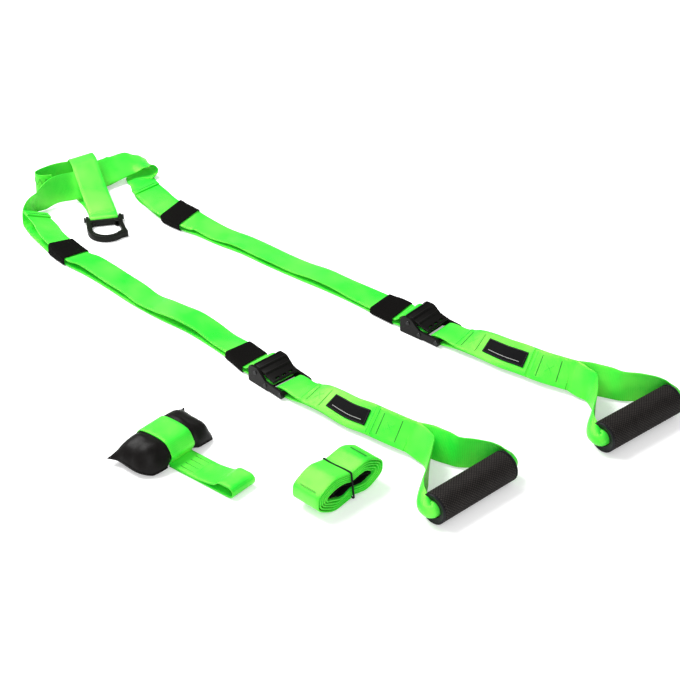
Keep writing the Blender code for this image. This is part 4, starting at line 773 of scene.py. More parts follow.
def half_turn(steps, ends=False, sign=1):
    """Angles of half a turn of webbing, from under a bar to over it, with or without its two ends."""
    first, last = (0, steps + 1) if ends else (1, steps)
    return [-pi / 2 + sign * pi * step / steps for step in range(first, last)]


def bump(x, centre, half, ease):
    """1 within half of the centre, falling smoothly to 0 over ease."""
    return 1 - eased((abs(x - centre) - half) / ease)


def laid(rows, floor_z=0.0, longest=ROW_STEP):
    """Frames of webbing on a smooth curve through its rows, kept above the floor."""
    frames = frames_along(smooth_rows(rows, longest))
    for centre, across, normal, _ in frames:
        reach = WEB_WIDTH / 2 * abs(across.z) + WEB_THICK / 2 * abs(normal.z)
        centre.z = max(centre.z, floor_z + reach + CLEAR)
    return frames


def moved(frames, matrix):
    """Frames of webbing taken from a piece's own frame to the model's."""
    turn = matrix.to_3x3()
    return [(matrix @ centre, turn @ across, turn @ normal, curl)
            for centre, across, normal, curl in frames]


FLAT_CURL = radians(1)
WRINKLES_ALONG = 55
WRINKLES_ACROSS = 18


def on_section(frame_row, side, height, width):
    """A point of the webbing's section, side across it and height over its middle."""
    centre, across, normal, curl = frame_row
    if curl > FLAT_CURL:
        radius = width / curl
        bend = side / radius
        out = normal * cos(bend) - across * sin(bend)
        return centre + across * radius * sin(bend) + normal * radius * (1 - cos(bend)) + out * height
    return centre + across * side + normal * height


def lengths_of(frames):
    """How far along the webbing each frame is."""
    found = [0.0]
    for before, after in zip(frames, frames[1:]):
        found.append(found[-1] + (after[0] - before[0]).length)
    return found


def ribbon(name, frames, kind="webbing", body=None, width=WEB_WIDTH, thick=WEB_THICK, columns=8, swell=None,
           wrinkle=0.0, seed=0.0):
    """Woven strip with rounded edges through its frames.

    swell adds height on its upper face, wrinkle is the height of the unevenness on both.
    """
    half = thick / 2
    section = []
    flat = width / 2 - half
    for k in range(columns + 1):
        section.append((-flat + 2 * flat * k / columns, half))
    for angle in (45, 0, -45):
        section.append((flat + half * cos(radians(angle)), half * sin(radians(angle))))
    for k in range(columns + 1):
        section.append((flat - 2 * flat * k / columns, -half))
    for angle in (-135, 180, 135):
        section.append((-flat + half * cos(radians(angle)), half * sin(radians(angle))))
    count = len(section)
    lengths = lengths_of(frames)
    verts = []
    for row, length in zip(frames, lengths):
        extra = swell(length) if swell else 0.0
        for side, height in section:
            lift = extra if height > half * 0.9 else 0.0
            if wrinkle:
                spot = Vector((length * WRINKLES_ALONG, side * WRINKLES_ACROSS + seed, seed))
                lift += wrinkle * noise.noise(spot)
            verts.append(on_section(row, side, height + lift, width))
    faces = []
    places = []
    ring_u = [side + width / 2 for side, _ in section]
    for row in range(len(frames) - 1):
        for k in range(count):
            after = (k + 1) % count
            a, b = row * count + k, row * count + after
            faces.append((a, a + count, b + count, b))
            u1, u2 = ring_u[k], ring_u[after]
            v1, v2 = lengths[row], lengths[row + 1]
            places += [(u1, v1), (u1, v2), (u2, v2), (u2, v1)]
    last = (len(frames) - 1) * count
    faces.append(tuple(range(count)))
    places += [(ring_u[k], lengths[0]) for k in range(count)]
    faces.append(tuple(last + k for k in reversed(range(count))))
    places += [(ring_u[k], lengths[-1]) for k in reversed(range(count))]
    return piece(name, verts, faces, kind, body, places=places)


def along_ribbon(frames, lengths, along, side, height, width=WEB_WIDTH):
    """A point on the webbing, given how far along and across it."""
    along = min(max(along, lengths[0]), lengths[-1])
    row = int(np.searchsorted(lengths, along, side="right")) - 1
    row = min(max(row, 0), len(frames) - 2)
    share = (along - lengths[row]) / max(lengths[row + 1] - lengths[row], 1e-9)
    first = on_section(frames[row], side, height, width)
    second = on_section(frames[row + 1], side, height, width)
    return first.lerp(second, share)


STITCH_SECTIONS = (
    # share of the stitch, then height over the webbing and thickness in radii of the thread
    (0.06, -0.9, 0.6),
    (0.2, 0.5, 1.0),
    (0.5, 0.75, 1.1),
    (0.8, 0.5, 1.0),
    (0.94, -0.9, 0.6),
)
THREAD_SIDES = 6


def stitches(name, frames, lines, kind, body, face=1, thick=WEB_THICK, extra=None, length=None):
    """Sewing thread along lines of places on the webbing: each stitch rises between its two holes."""
    sizes = bpy.context.scene.trainer_sizes
    step = length or sizes.stitch_length
    radius = sizes.thread_radius
    lengths = lengths_of(frames)
    verts, faces = [], []
    sides = THREAD_SIDES
    for line in lines:
        for (along_a, side_a), (along_b, side_b) in zip(line, line[1:]):
            run = ((along_b - along_a) ** 2 + (side_b - side_a) ** 2) ** 0.5
            count = max(1, round(run / step))
            for k in range(count):
                rings = []
                for place, height, _ in STITCH_SECTIONS:
                    share = (k + place) / count
                    along = along_a + (along_b - along_a) * share
                    side = side_a + (side_b - side_a) * share
                    lift = thick / 2 + radius * height
                    if extra:
                        lift += extra(along)
                    rings.append(along_ribbon(frames, lengths, along, side, face * lift))
                direction = (rings[-1] - rings[0]).normalized()
                aside = direction.orthogonal().normalized()
                other = direction.cross(aside)
                start = len(verts)
                for ring, (_, _, size) in zip(rings, STITCH_SECTIONS):
                    for corner in range(sides):
                        angle = 2 * pi * corner / sides
                        verts.append(ring + (aside * cos(angle) + other * sin(angle)) * radius * size)
                last = start + (len(rings) - 1) * sides
                for base in range(start, last, sides):
                    for corner in range(sides):
                        a, b = base + corner, base + (corner + 1) % sides
                        faces.append((a, b, b + sides, a + sides))
                faces.append(tuple(start + corner for corner in reversed(range(sides))))
                faces.append(tuple(last + corner for corner in range(sides)))
    return piece(name, verts, faces, kind, body, smooth=radians(80))


def bar_lines(along, half_width, depth=0.0016, pitch=0.0011):
    """Close zigzag of a bar tack that runs across the webbing."""
    count = int(2 * half_width / pitch)
    line = []
    for k in range(count + 1):
        side = -half_width + 2 * half_width * k / count
        line.append((along + (depth / 2 if k % 2 else -depth / 2), side))
    return line


def lathe(name, profile, matrix, kind, body, around=72, push=None):
    """A closed profile of radius and place turned about Y. push moves each point outwards."""
    verts, faces = [], []
    count = len(profile)
    for turn in range(around):
        angle = 2 * pi * turn / around
        for radius, place in profile:
            out = radius + (push(angle, place, radius) if push else 0.0)
            verts.append(matrix @ Vector((out * cos(angle), place, out * sin(angle))))
    for turn in range(around):
        after = (turn + 1) % around
        for k in range(count):
            nxt = (k + 1) % count
            faces.append((turn * count + k, turn * count + nxt, after * count + nxt, after * count + k))
    places = []
    for turn in range(around):
        for k in range(count):
            nxt = (k + 1) % count
            for step, spot in ((0, k), (0, nxt), (1, nxt), (1, k)):
                places.append(((turn + step) / around, profile[spot][1]))
    return piece(name, verts, faces, kind, body, smooth=radians(42), places=places)


def tube(name, points, radius, kind, body, sides=12, closed=False):
    """A round cord along its points."""
    verts, faces = [], []
    total = len(points)
    aside = None
    for i, point in enumerate(points):
        before = points[i - 1] if closed or i else points[0]
        after = points[(i + 1) % total] if closed or i < total - 1 else points[-1]
        tangent = (after - before).normalized()
        if aside is None:
            aside = tangent.orthogonal().normalized()
        aside = (aside - tangent * aside.dot(tangent)).normalized()
        other = tangent.cross(aside)
        for corner in range(sides):
            angle = 2 * pi * corner / sides
            verts.append(point + (aside * cos(angle) + other * sin(angle)) * radius)
    for i in range(total if closed else total - 1):
        after = (i + 1) % total
        for corner in range(sides):
            nxt = (corner + 1) % sides
            faces.append((i * sides + corner, i * sides + nxt, after * sides + nxt, after * sides + corner))
    if not closed:
        faces.append(tuple(reversed(range(sides))))
        faces.append(tuple((total - 1) * sides + corner for corner in range(sides)))
    return piece(name, verts, faces, kind, body, smooth=radians(80))


def box_cut(size, place):
    work = bmesh.new()
    bmesh.ops.create_cube(work, size=1)
    bmesh.ops.scale(work, vec=size, verts=work.verts)
    bmesh.ops.translate(work, vec=place, verts=work.verts)
    return work


def bore_cut(radius, length, place, axis, sides=32):
    work = bmesh.new()
    bmesh.ops.create_cone(work, cap_ends=True, segments=sides, radius1=radius, radius2=radius, depth=length)
    turn = Vector((0, 0, 1)).rotation_difference(Vector(axis)).to_matrix()
    bmesh.ops.rotate(work, matrix=turn, verts=work.verts)
    bmesh.ops.translate(work, vec=place, verts=work.verts)
    return work


def carved(name, outline, low, high, upright, edge, segments, cuts, matrix, kind, body):
    """An outline given depth, its edges rounded, then cut. upright outlines stand in the XZ plane."""
    count = len(outline)
    verts = []
    for level in (low, high):
        verts += [(a, level, b) if upright else (a, b, level) for a, b in outline]
    faces = [tuple(range(count)), tuple(reversed(range(count, 2 * count)))]
    faces += [(k, k + count, (k + 1) % count + count, (k + 1) % count) for k in range(count)]
    made = linked(name, closed_mesh(name, verts, faces))
    soften(made, edge, segments)
    helpers = []
    for work in cuts:
        tool_mesh = bpy.data.meshes.new("hollow")
        work.to_mesh(tool_mesh)
        work.free()
        hollow = linked("hollow", tool_mesh)
        step = made.modifiers.new("cut", "BOOLEAN")
        step.object = hollow
        step.operation = "DIFFERENCE"
        step.solver = "EXACT"
        helpers.append(hollow)
    graph = bpy.context.evaluated_depsgraph_get()
    graph.update()
    final = bpy.data.meshes.new_from_object(made.evaluated_get(graph))
    made.modifiers.clear()
    made.data = final
    for hollow in helpers:
        bpy.data.objects.remove(hollow, do_unlink=True)
    final.transform(matrix)
    final.materials.clear()
    final.materials.append(material_of(kind))
    final.shade_smooth()
    final.set_sharp_from_angle(angle=radians(38))
    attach(made, body)
    return made


# Frames of the moving pieces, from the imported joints

def placed(joint, heading):
    return Matrix.Translation(Vector(JOINTS[joint]["pos_m"])) @ Matrix.Rotation(heading, 4, "Z")


def leg_heading(side):
    axis = JOINTS["leg_adjust_" + side]["axis"]
    return atan2(axis[1], axis[0])


def leg_matrix(side):
    return placed("leg_adjust_" + side, leg_heading(side))


def handle_matrix(side):
    return placed("handle_hinge_" + side, leg_heading(side))


def grip_matrix(side):
    axis = JOINTS["grip_spin_" + side]["axis"]
    return placed("grip_spin_" + side, atan2(-axis[0], axis[1]))


SHIFT = Vector(JOINTS["leg_adjust_right"]["pos_m"]) - Vector((*PIN_PLACE["right"], 0))


# Yoke and anchor strap

def yoke_point(x_share, y_share, z_share):
    return (YOKE_X + x_share * YOKE_DEPTH, YOKE_Y + y_share * YOKE_SPAN, z_share * WEB_WIDTH)


def lerp(rows, x):
    """Row of a table of places at x, on straight lines between its rows."""
    xs = [row[0] for row in rows]
    return [float(np.interp(x, xs, [row[k] for row in rows])) for k in range(1, len(rows[0]))]


def with_places(places, fixed, apart=0.0065):
    kept = [x for x in places if min(abs(x - other) for other in fixed) > apart]
    return sorted(kept + fixed)


def load_rows(side):
    """The load layer lies on the floor, a little up where a keeper runs under it."""
    table = LOAD_SHARES[side]
    centres = (UPPER_KEEPER_SHARE[side] * LEG_LENGTH, -LOWER_KEEPER_BACK)
    fixed = []
    for centre in centres:
        fixed += [centre - KEEPER_HALF, centre + KEEPER_HALF]
    rows = []
    for x in with_places([row[0] * LEG_LENGTH for row in table], fixed):
        kept = max(bump(x, centre, KEEPER_HALF + CLEAR, KEEPER_LENGTH) for centre in centres)
        height = FLOOR_LAYER_Z + kept * (KEPT_LAYER_Z - FLOOR_LAYER_Z)
        rows.append((x, lerp(table, x / LEG_LENGTH)[0] * WEB_WIDTH, height))
    rows.append((WEB_JOIN_X - CHEEK_THICK, 0, LOAD_Z))
    rows.append((WEB_JOIN_X, 0, LOAD_Z))
    return rows


def tail_rows(side):
    """The tail layer rides over the load layer in low waves."""
    load = load_rows(side)
    rows = []
    for x_share, sway, lift, tilt in TAIL_SHARES[side]:
        x = x_share * LEG_LENGTH
        rise = lerp(load, x)[1] + LAYER_STEP + lift * LEG_WAVE + WEB_WIDTH / 2 * abs(sin(radians(tilt)))
        rows.append((x, sway * WEB_WIDTH, rise, tilt))
    rows.append((WEB_JOIN_X - CHEEK_THICK, 0, RETURN_Z + TAIL_LIFT, 0))
    rows.append((WEB_JOIN_X, 0, RETURN_Z + WEB_ARCH, 0))
    return rows


def leg_start(side):
    """Middle, width direction and heading of the start of a leg's load layer, in the plan of the set."""
    rows = [(*row, 0, 1, 0, 0) for row in load_rows(side)]
    samples = smooth_rows(rows)
    centre, across = frames_along(samples)[0][:2]
    turn = Matrix.Rotation(leg_heading(side), 3, "Z")
    ahead = Vector(samples[1][:3] - samples[0][:3]).normalized()
    return turn @ centre + Vector((*PIN_PLACE[side], 0)), turn @ across, turn @ ahead


def yoke_frames():
    rows = []
    for x1, y1, z1, x2, y2, z2 in YOKE_EDGE_SHARES:
        low = Vector(yoke_point(x1, y1, z1))
        high = Vector(yoke_point(x2, y2, z2))
        rows.append((*((low + high) / 2), *(high - low).normalized(), 0))
    for side, first in (("right", True), ("left", False)):
        centre, across, ahead = leg_start(side)
        pair = [(*(centre - ahead * away), *-across, 0) for away in (SEW_GAP, WEB_THICK * 3)]
        rows = pair + rows if first else rows + pair[::-1]
    return laid(rows)


def backing_frames():
    rows = []
    for x, y, z, lean in BACKING_SHARES:
        rows.append((*yoke_point(x, y, z), lean, 0, 1, 0))
    return laid(rows)


def headed(table):
    """Rows of the anchor strap from its table of places and headings."""
    return [(*yoke_point(x, y, z), cos(radians(heading)), sin(radians(heading)), 0, 0)
            for x, y, z, heading in table]


def anchor_frames():
    ahead = Vector((cos(RING_HEADING), sin(RING_HEADING), 0))
    beside = Vector((-sin(RING_HEADING), cos(RING_HEADING), 0))
    bar = Vector((*RING_PLACE, RING_THICK / 2))
    reach = BAR_RADIUS + CLEAR + WEB_THICK / 2
    rows = headed(ANCHOR_SHARES)
    before = bar - ahead * 2 * reach
    rows.append((*(before - Vector((0, 0, reach))), *beside, 0))
    for angle in half_turn(6, ends=True):
        place = bar + ahead * reach * cos(angle) + Vector((0, 0, reach * sin(angle)))
        rows.append((*place, *beside, 0))
    rows.append((*(before + Vector((0, 0, reach))), *beside, 0))
    return laid(rows + headed(ANCHOR_TOP_SHARES))


def build_yoke():
    """Yoke webbing, its sewn second layer and the strap that carries the ring."""
    to_model = Matrix.Translation(SHIFT)
    yoke = moved(yoke_frames(), to_model)
    strap = ribbon("yoke_webbing", yoke, body="root", wrinkle=0.00018, seed=3.1)
    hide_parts("yoke_strap")
    backing = moved(backing_frames(), to_model)
    second = ribbon("yoke_second_layer", backing, body="root", wrinkle=0.0001, seed=8.4)
    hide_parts("yoke_backing")
    zigzag = [(YOKE_SEAM_START + YOKE_SEAM_STEP * k, YOKE_SEAM_SIDES[k % 2]) for k in range(7)]
    stitches("yoke_seam_zigzag", backing, [zigzag], "thread", "root", face=-1)
    stitches("yoke_seam_bar", backing, [bar_lines(YOKE_BAR_TACK, 0.014)], "thread", "root", face=-1)

    anchor = moved(anchor_frames(), to_model)
    carrier = ribbon("anchor_webbing", anchor, body="root", wrinkle=0.00008, seed=1.7)
    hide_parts("anchor_strap")
    total = lengths_of(anchor)
    turn = min(range(len(anchor)), key=lambda i: -anchor[i][0].x)
    for number, back in enumerate(ANCHOR_SEAMS):
        line = [(total[turn] + back, -SEAM_REACH), (total[turn] + back + 0.0015, SEAM_REACH)]
        stitches(f"anchor_seam_{number}", anchor, [line], "pale_thread", "root", face=-1)


# Anchor ring

def arc(centre, radius, start, end, count):
    found = []
    for step in range(count + 1):
        angle = radians(start + (end - start) * step / count)
        found.append((centre[0] + radius * cos(angle), centre[1] + radius * sin(angle)))
    return found


def build_ring():
    """Cast D-shaped ring with an even rounded band, ears for its bar and a nose for its gate."""
    half = RING_WIDTH / 2
    ear_in = WEB_WIDTH / 2 + 4 * CLEAR
    ear_out = ear_in + EAR_THICK
    lobe = BAR_KNOB + CLEAR
    foot = RING_LENGTH - half
    inner = half - RING_BAND
    # right ear, then round the outside
    outline = [(0.0078, -ear_in), (-lobe / 2, -ear_in), (-lobe, -ear_in - EAR_THICK / 3),
               (-lobe, -ear_out + EAR_THICK / 4), (-lobe / 2, -ear_out), (0.008, -ear_out),
               (0.016, -half + 0.0003)]
    outline += arc((foot, 0), half, -90, 44, 22)
    # nose beside the gate, then back along the inside
    nose = foot + half * cos(radians(56))
    outline += [(nose + 0.0026, half - 0.0024), (nose + 0.0022, half + 0.0009),
                (nose - 0.0012, half + 0.0012), (nose - GATE_WIDTH, half + CLEAR),
                (nose - GATE_WIDTH, half - GATE_WIDTH - CLEAR)]
    outline += arc((foot, 0), inner, 50, -78, 18)
    # back of the eye and left ear
    outline += [(0.0200, -inner + 0.0004), (0.0138, -inner + 0.0022), (EYE_BACK, -inner + 0.0052),
                (EYE_BACK, half - GATE_WIDTH * 2.4), (EYE_BACK + 0.0045, half - GATE_WIDTH * 1.95),
                (EYE_BACK + 0.0050, half - GATE_WIDTH / 2), (0.0125, ear_out), (-lobe / 2, ear_out),
                (-lobe, ear_out - EAR_THICK / 4), (-lobe, ear_in + EAR_THICK / 3), (-lobe / 2, ear_in),
                (0.0078, ear_in)]
    gate = (GATE_PLACE[0] + GATE_WIDTH / 2, GATE_PLACE[1] + GATE_WIDTH / 3, 0)
    gate_room = (GATE_WIDTH * 2 + 8 * CLEAR, GATE_WIDTH * 3, GATE_WIDTH + 2 * CLEAR)
    cuts = [bore_cut(BAR_RADIUS + CLEAR, RING_WIDTH * 2, (0, 0, 0), (0, 1, 0)),
            box_cut(gate_room, gate),
            bore_cut(GATE_PIN + CLEAR, RING_THICK * 2, (*GATE_PLACE, 0), (0, 0, 1), 16)]
    low, high = -RING_THICK / 2 + 0.0001, RING_THICK / 2 - 0.0012
    matrix = placed("ring_hinge", RING_HEADING)
    ring = carved("ring_casting", outline, low, high, False, 0.0021, 5, cuts, matrix, "coated",
                  "anchor_ring")
    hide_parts("carabiner_ring")


# Legs

def leg_frames(rows, side):
    found = []
    for x, y, z, tilt in rows:
        found.append((x, y, z, 0, cos(radians(tilt)), sin(radians(tilt)), 0))
    return moved(laid(found), leg_matrix(side))


def tab_frames(side):
    rows = tail_rows(side)
    x, y, z, tilt = rows[0]
    slope = Vector((rows[1][0] - x, rows[1][1] - y, rows[1][2] - z)).normalized()
    across = Vector((0, cos(radians(tilt)), sin(radians(tilt))))
    across = (across - slope * across.dot(slope)).normalized()
    up = slope.cross(across)
    start = Vector((x, y, z)) - slope * SEW_GAP
    radius = (WEB_THICK + SEW_GAP) / 2
    centre = start - slope * TAB_FOLD + up * radius
    places = [start, start - slope * TAB_FOLD / 2]
    for angle in half_turn(12, ends=True, sign=-1):
        places.append(centre + slope * radius * cos(angle) + up * radius * sin(angle))
    places.append(start - slope * TAB_FOLD / 2 + up * 2 * radius)
    places.append(start - slope * TAB_FOLD / 5 + up * 2 * radius)
    found = [(*place, *across, 0) for place in places]
    return moved(laid(found, longest=FINE_ROW_STEP), leg_matrix(side))


def keeper_section(x, load, tail):
    """Closed outline of an elastic band round both layers of the webbing."""
    load_y = lerp(load, x)[0]
    tail_y, tail_z, tilt = lerp(tail, x)
    skew = max(abs(lerp(rows, x + KEEPER_THICK)[0] - lerp(rows, x - KEEPER_THICK)[0])
               for rows in (load, tail))
    ease = WEB_WIDTH / 2 / cos(atan2(skew, 2 * KEEPER_THICK)) + KEEPER_EASE
    lift = WEB_THICK / 2 + 3 * CLEAR + KEEPER_THICK / 2
    corner = KEEPER_EASE / 2
    across = Vector((cos(radians(tilt)), sin(radians(tilt))))
    up = Vector((-across.y, across.x))
    centre = Vector((tail_y, tail_z))
    low = KEEPER_THICK / 2
    ring = [Vector((load_y - ease, low + corner)), Vector((load_y - ease + corner, low)),
            Vector((load_y + ease - corner, low)), Vector((load_y + ease, low + corner))]
    far = centre + across * ease
    near = centre - across * ease
    ring += [far + up * (lift - corner), far - across * corner + up * lift,
             near + across * corner + up * lift, near + up * (lift - corner)]
    fine = []
    for i, point in enumerate(ring):
        after = ring[(i + 1) % len(ring)]
        count = max(1, ceil((after - point).length / 0.004))
        for step in range(count):
            fine.append(point.lerp(after, step / count))
    for _ in range(2):
        fine = [(fine[i - 1] + point * 6 + fine[(i + 1) % len(fine)]) / 8 for i, point in enumerate(fine)]
    return fine


KEEPER_STATIONS = 15
KEEPER_EDGE_SHARE = 0.35


def build_keeper(name, node, side, centre_x, body):
    """Elastic band round both layers of the webbing, thinner at its two edges."""
    load = smooth_rows(load_rows(side))
    tail = smooth_rows(tail_rows(side))
    sections = []
    last = KEEPER_STATIONS - 1
    for step in range(KEEPER_STATIONS):
        x = centre_x - KEEPER_HALF + KEEPER_LENGTH * step / last
        sections.append((x, keeper_section(x, load, tail)))
    count = 2 * min(len(section) for _, section in sections)
    rings = []
    for x, section in sections:
        closed = section + [section[0]]
        lengths = [0.0]
        for a, b in zip(closed, closed[1:]):
            lengths.append(lengths[-1] + (b - a).length)
        ring = []
        for k in range(count):
            at = lengths[-1] * k / count
            ring.append(Vector((np.interp(at, lengths, [p.x for p in closed]),
                                np.interp(at, lengths, [p.y for p in closed]))))
        rings.append((x, ring, lengths[-1]))
    matrix = leg_matrix(side)
    verts, faces, places = [], [], []
    for outer in (1, -1):
        for step, (x, ring, _) in enumerate(rings):
            edge = 1 - KEEPER_EDGE_SHARE if step in (0, last) else 1
            for k, point in enumerate(ring):
                ahead = ring[(k + 1) % count] - ring[k - 1]
                out = Vector((ahead.y, -ahead.x)).normalized()
                shift = point + out * (outer * KEEPER_THICK / 2 * edge)
                verts.append(matrix @ Vector((x, shift.x, max(shift.y, OVER_FLOOR))))
    inner = KEEPER_STATIONS * count
    for half, flip in ((0, False), (inner, True)):
        for step in range(last):
            around = rings[step][2]
            v1 = KEEPER_LENGTH * step / last
            v2 = KEEPER_LENGTH * (step + 1) / last
            for k in range(count):
                a, b = half + step * count + k, half + step * count + (k + 1) % count
                face = (a, b, b + count, a + count)
                u1 = around * k / count
                u2 = around * (k + 1) / count
                spots = [(u1, v1), (u2, v1), (u2, v2), (u1, v2)]
                faces.append(face[::-1] if flip else face)
                places += spots[::-1] if flip else spots
    for step, flip in ((0, True), (last, False)):
        for k in range(count):
            a, b = step * count + k, step * count + (k + 1) % count
            face = (a, b, inner + b, inner + a)
            faces.append(face[::-1] if flip else face)
            places += [(0, 0), (0.001, 0), (0.001, 0.001), (0, 0.001)]
    made = piece(name, verts, faces, "elastic", body, places=places)
    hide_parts(node)


def build_leg_webbing(side):
    """Load layer, free tail with its folded tab, and the webbing inside the buckle."""
    body = "buckle_" + side
    load = leg_frames([(*row, 0) for row in load_rows(side)], side)
    strap = ribbon("load_webbing_" + side, load, wrinkle=0.00008, seed=2.0)
    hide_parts("load_strap_" + side)
    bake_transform(strap)

    tail = leg_frames(tail_rows(side), side)
    free = ribbon("tail_webbing_" + side, tail, wrinkle=0.00012, seed=5.0)
    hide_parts("tail_strap_" + side)
    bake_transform(free)

    folded = tab_frames(side)
    tab = ribbon("pull_tab_" + side, folded, body="tail_" + side)
    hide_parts("tail_tab_" + side)
    total = lengths_of(folded)[-1]
    zigzag = []
    for k in range(17):
        zigzag.append((total - TAB_SEAM_BACK[k % 2], -TAB_SEAM_HALF + 2 * TAB_SEAM_HALF * k / 16))
    stitches("pull_tab_seam_" + side, folded, [zigzag], "thread", "tail_" + side, face=1)

    rows = [(WEB_JOIN_X + SEW_GAP, 0, LOAD_Z), (0, 0, LOAD_Z), (TURN_BAR_REACH, 0, LOAD_Z)]
    for angle in half_turn(16):
        rows.append((TURN_BAR_REACH + TURN_PATH * cos(angle), 0, TURN_Z + TURN_PATH * sin(angle)))
    rows += [(TURN_BAR_REACH, 0, RETURN_Z), (0, 0, RETURN_Z), (-0.0050, 0, RETURN_Z + 0.0002),
             (-0.0094, 0, RETURN_Z + WEB_ARCH * 1.15), (-0.0132, 0, RETURN_Z + WEB_ARCH * 1.3),
             (WEB_JOIN_X + SEW_GAP, 0, RETURN_Z + WEB_ARCH)]
    inside = moved(frames_along(smooth_rows([(*row, 0, 1, 0, 0) for row in rows])), leg_matrix(side))
    web = ribbon("buckle_webbing_" + side, inside, body=body)
    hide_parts("buckle_web_" + side)


# Buckles

def build_lever(side):
    """Toothed cam with a long stepped lever plate, three slots near its end."""
    outline = [(x / 1000, z / 1000) for x, z in LEVER_POINTS]
    root = CAM_RADIUS - TOOTH_DEPTH
    step = (TEETH_START - TEETH_END) / CAM_TEETH
    for tooth in range(CAM_TEETH):
        angle = radians(TEETH_START - step * tooth)
        crest = angle - radians(step * 2 / 3)
        outline.append((root * cos(angle), root * sin(angle)))
        outline.append((CAM_RADIUS * cos(crest), CAM_RADIUS * sin(crest)))
    outline.append((root * cos(radians(TEETH_END)), root * sin(radians(TEETH_END))))
    half = BUCKLE_INNER / 2 - 2 * CLEAR
    pocket = CAM_RADIUS + 3 * CLEAR
    cuts = [bore_cut(CAM_PIN_RADIUS + CLEAR, half * 3, (0, 0, 0), (0, 1, 0)),
            box_cut((pocket * 2, SPRING_SLOT, pocket * 2 - 2 * CLEAR), (0, 0, -2 * CLEAR - pocket / 4))]
    for place in LEVER_SLOTS:
        cuts.append(box_cut(LEVER_SLOT_SIZE, (LEVER_SLOT_X, place, LEVER_SLOT_Z)))
    matrix = placed("cam_hinge_" + side, leg_heading(side))
    lever = carved("lever_plate_" + side, outline, -half, half, True, 0.0004, 3, cuts, matrix, "lever",
                   "lever_" + side)
    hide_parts("cam_lever_" + side)


# Handles

def handle_rows(side):
    table = HANDLE_SHARES[side]
    rows = []
    for x in with_places([row[0] * HANDLE_LENGTH for row in table], [LABEL_START, LABEL_END]):
        sway, rise, tilt = lerp(table, x / HANDLE_LENGTH)
        drift = x * tan(HANDLE_DRIFT[side]) * eased(x / EYE_CLOSE)
        angle = radians(tilt)
        rows.append((x, sway * WEB_WIDTH + drift, rise * WEB_WIDTH, 0, cos(angle), sin(angle), 0))
    return rows


def loop_point(side, across_share, along_share, up_share):
    share = (across_share - LOOP_STRAIGHT_SHARE) / (LOOP_TURNED_SHARE - LOOP_STRAIGHT_SHARE)
    turn = GRIP_TURN[side] * min(max(share, 0), 1)
    across = across_share * GRIP_RADIUS
    along = along_share * GRIP_LENGTH
    height = GRIP_RADIUS - REAR_BAR_Z + up_share * GRIP_RADIUS
    return Vector((GRIP_REACH[side] + across * cos(turn) - along * sin(turn),
                   GRIP_SWAY[side] + across * sin(turn) + along * cos(turn), height))


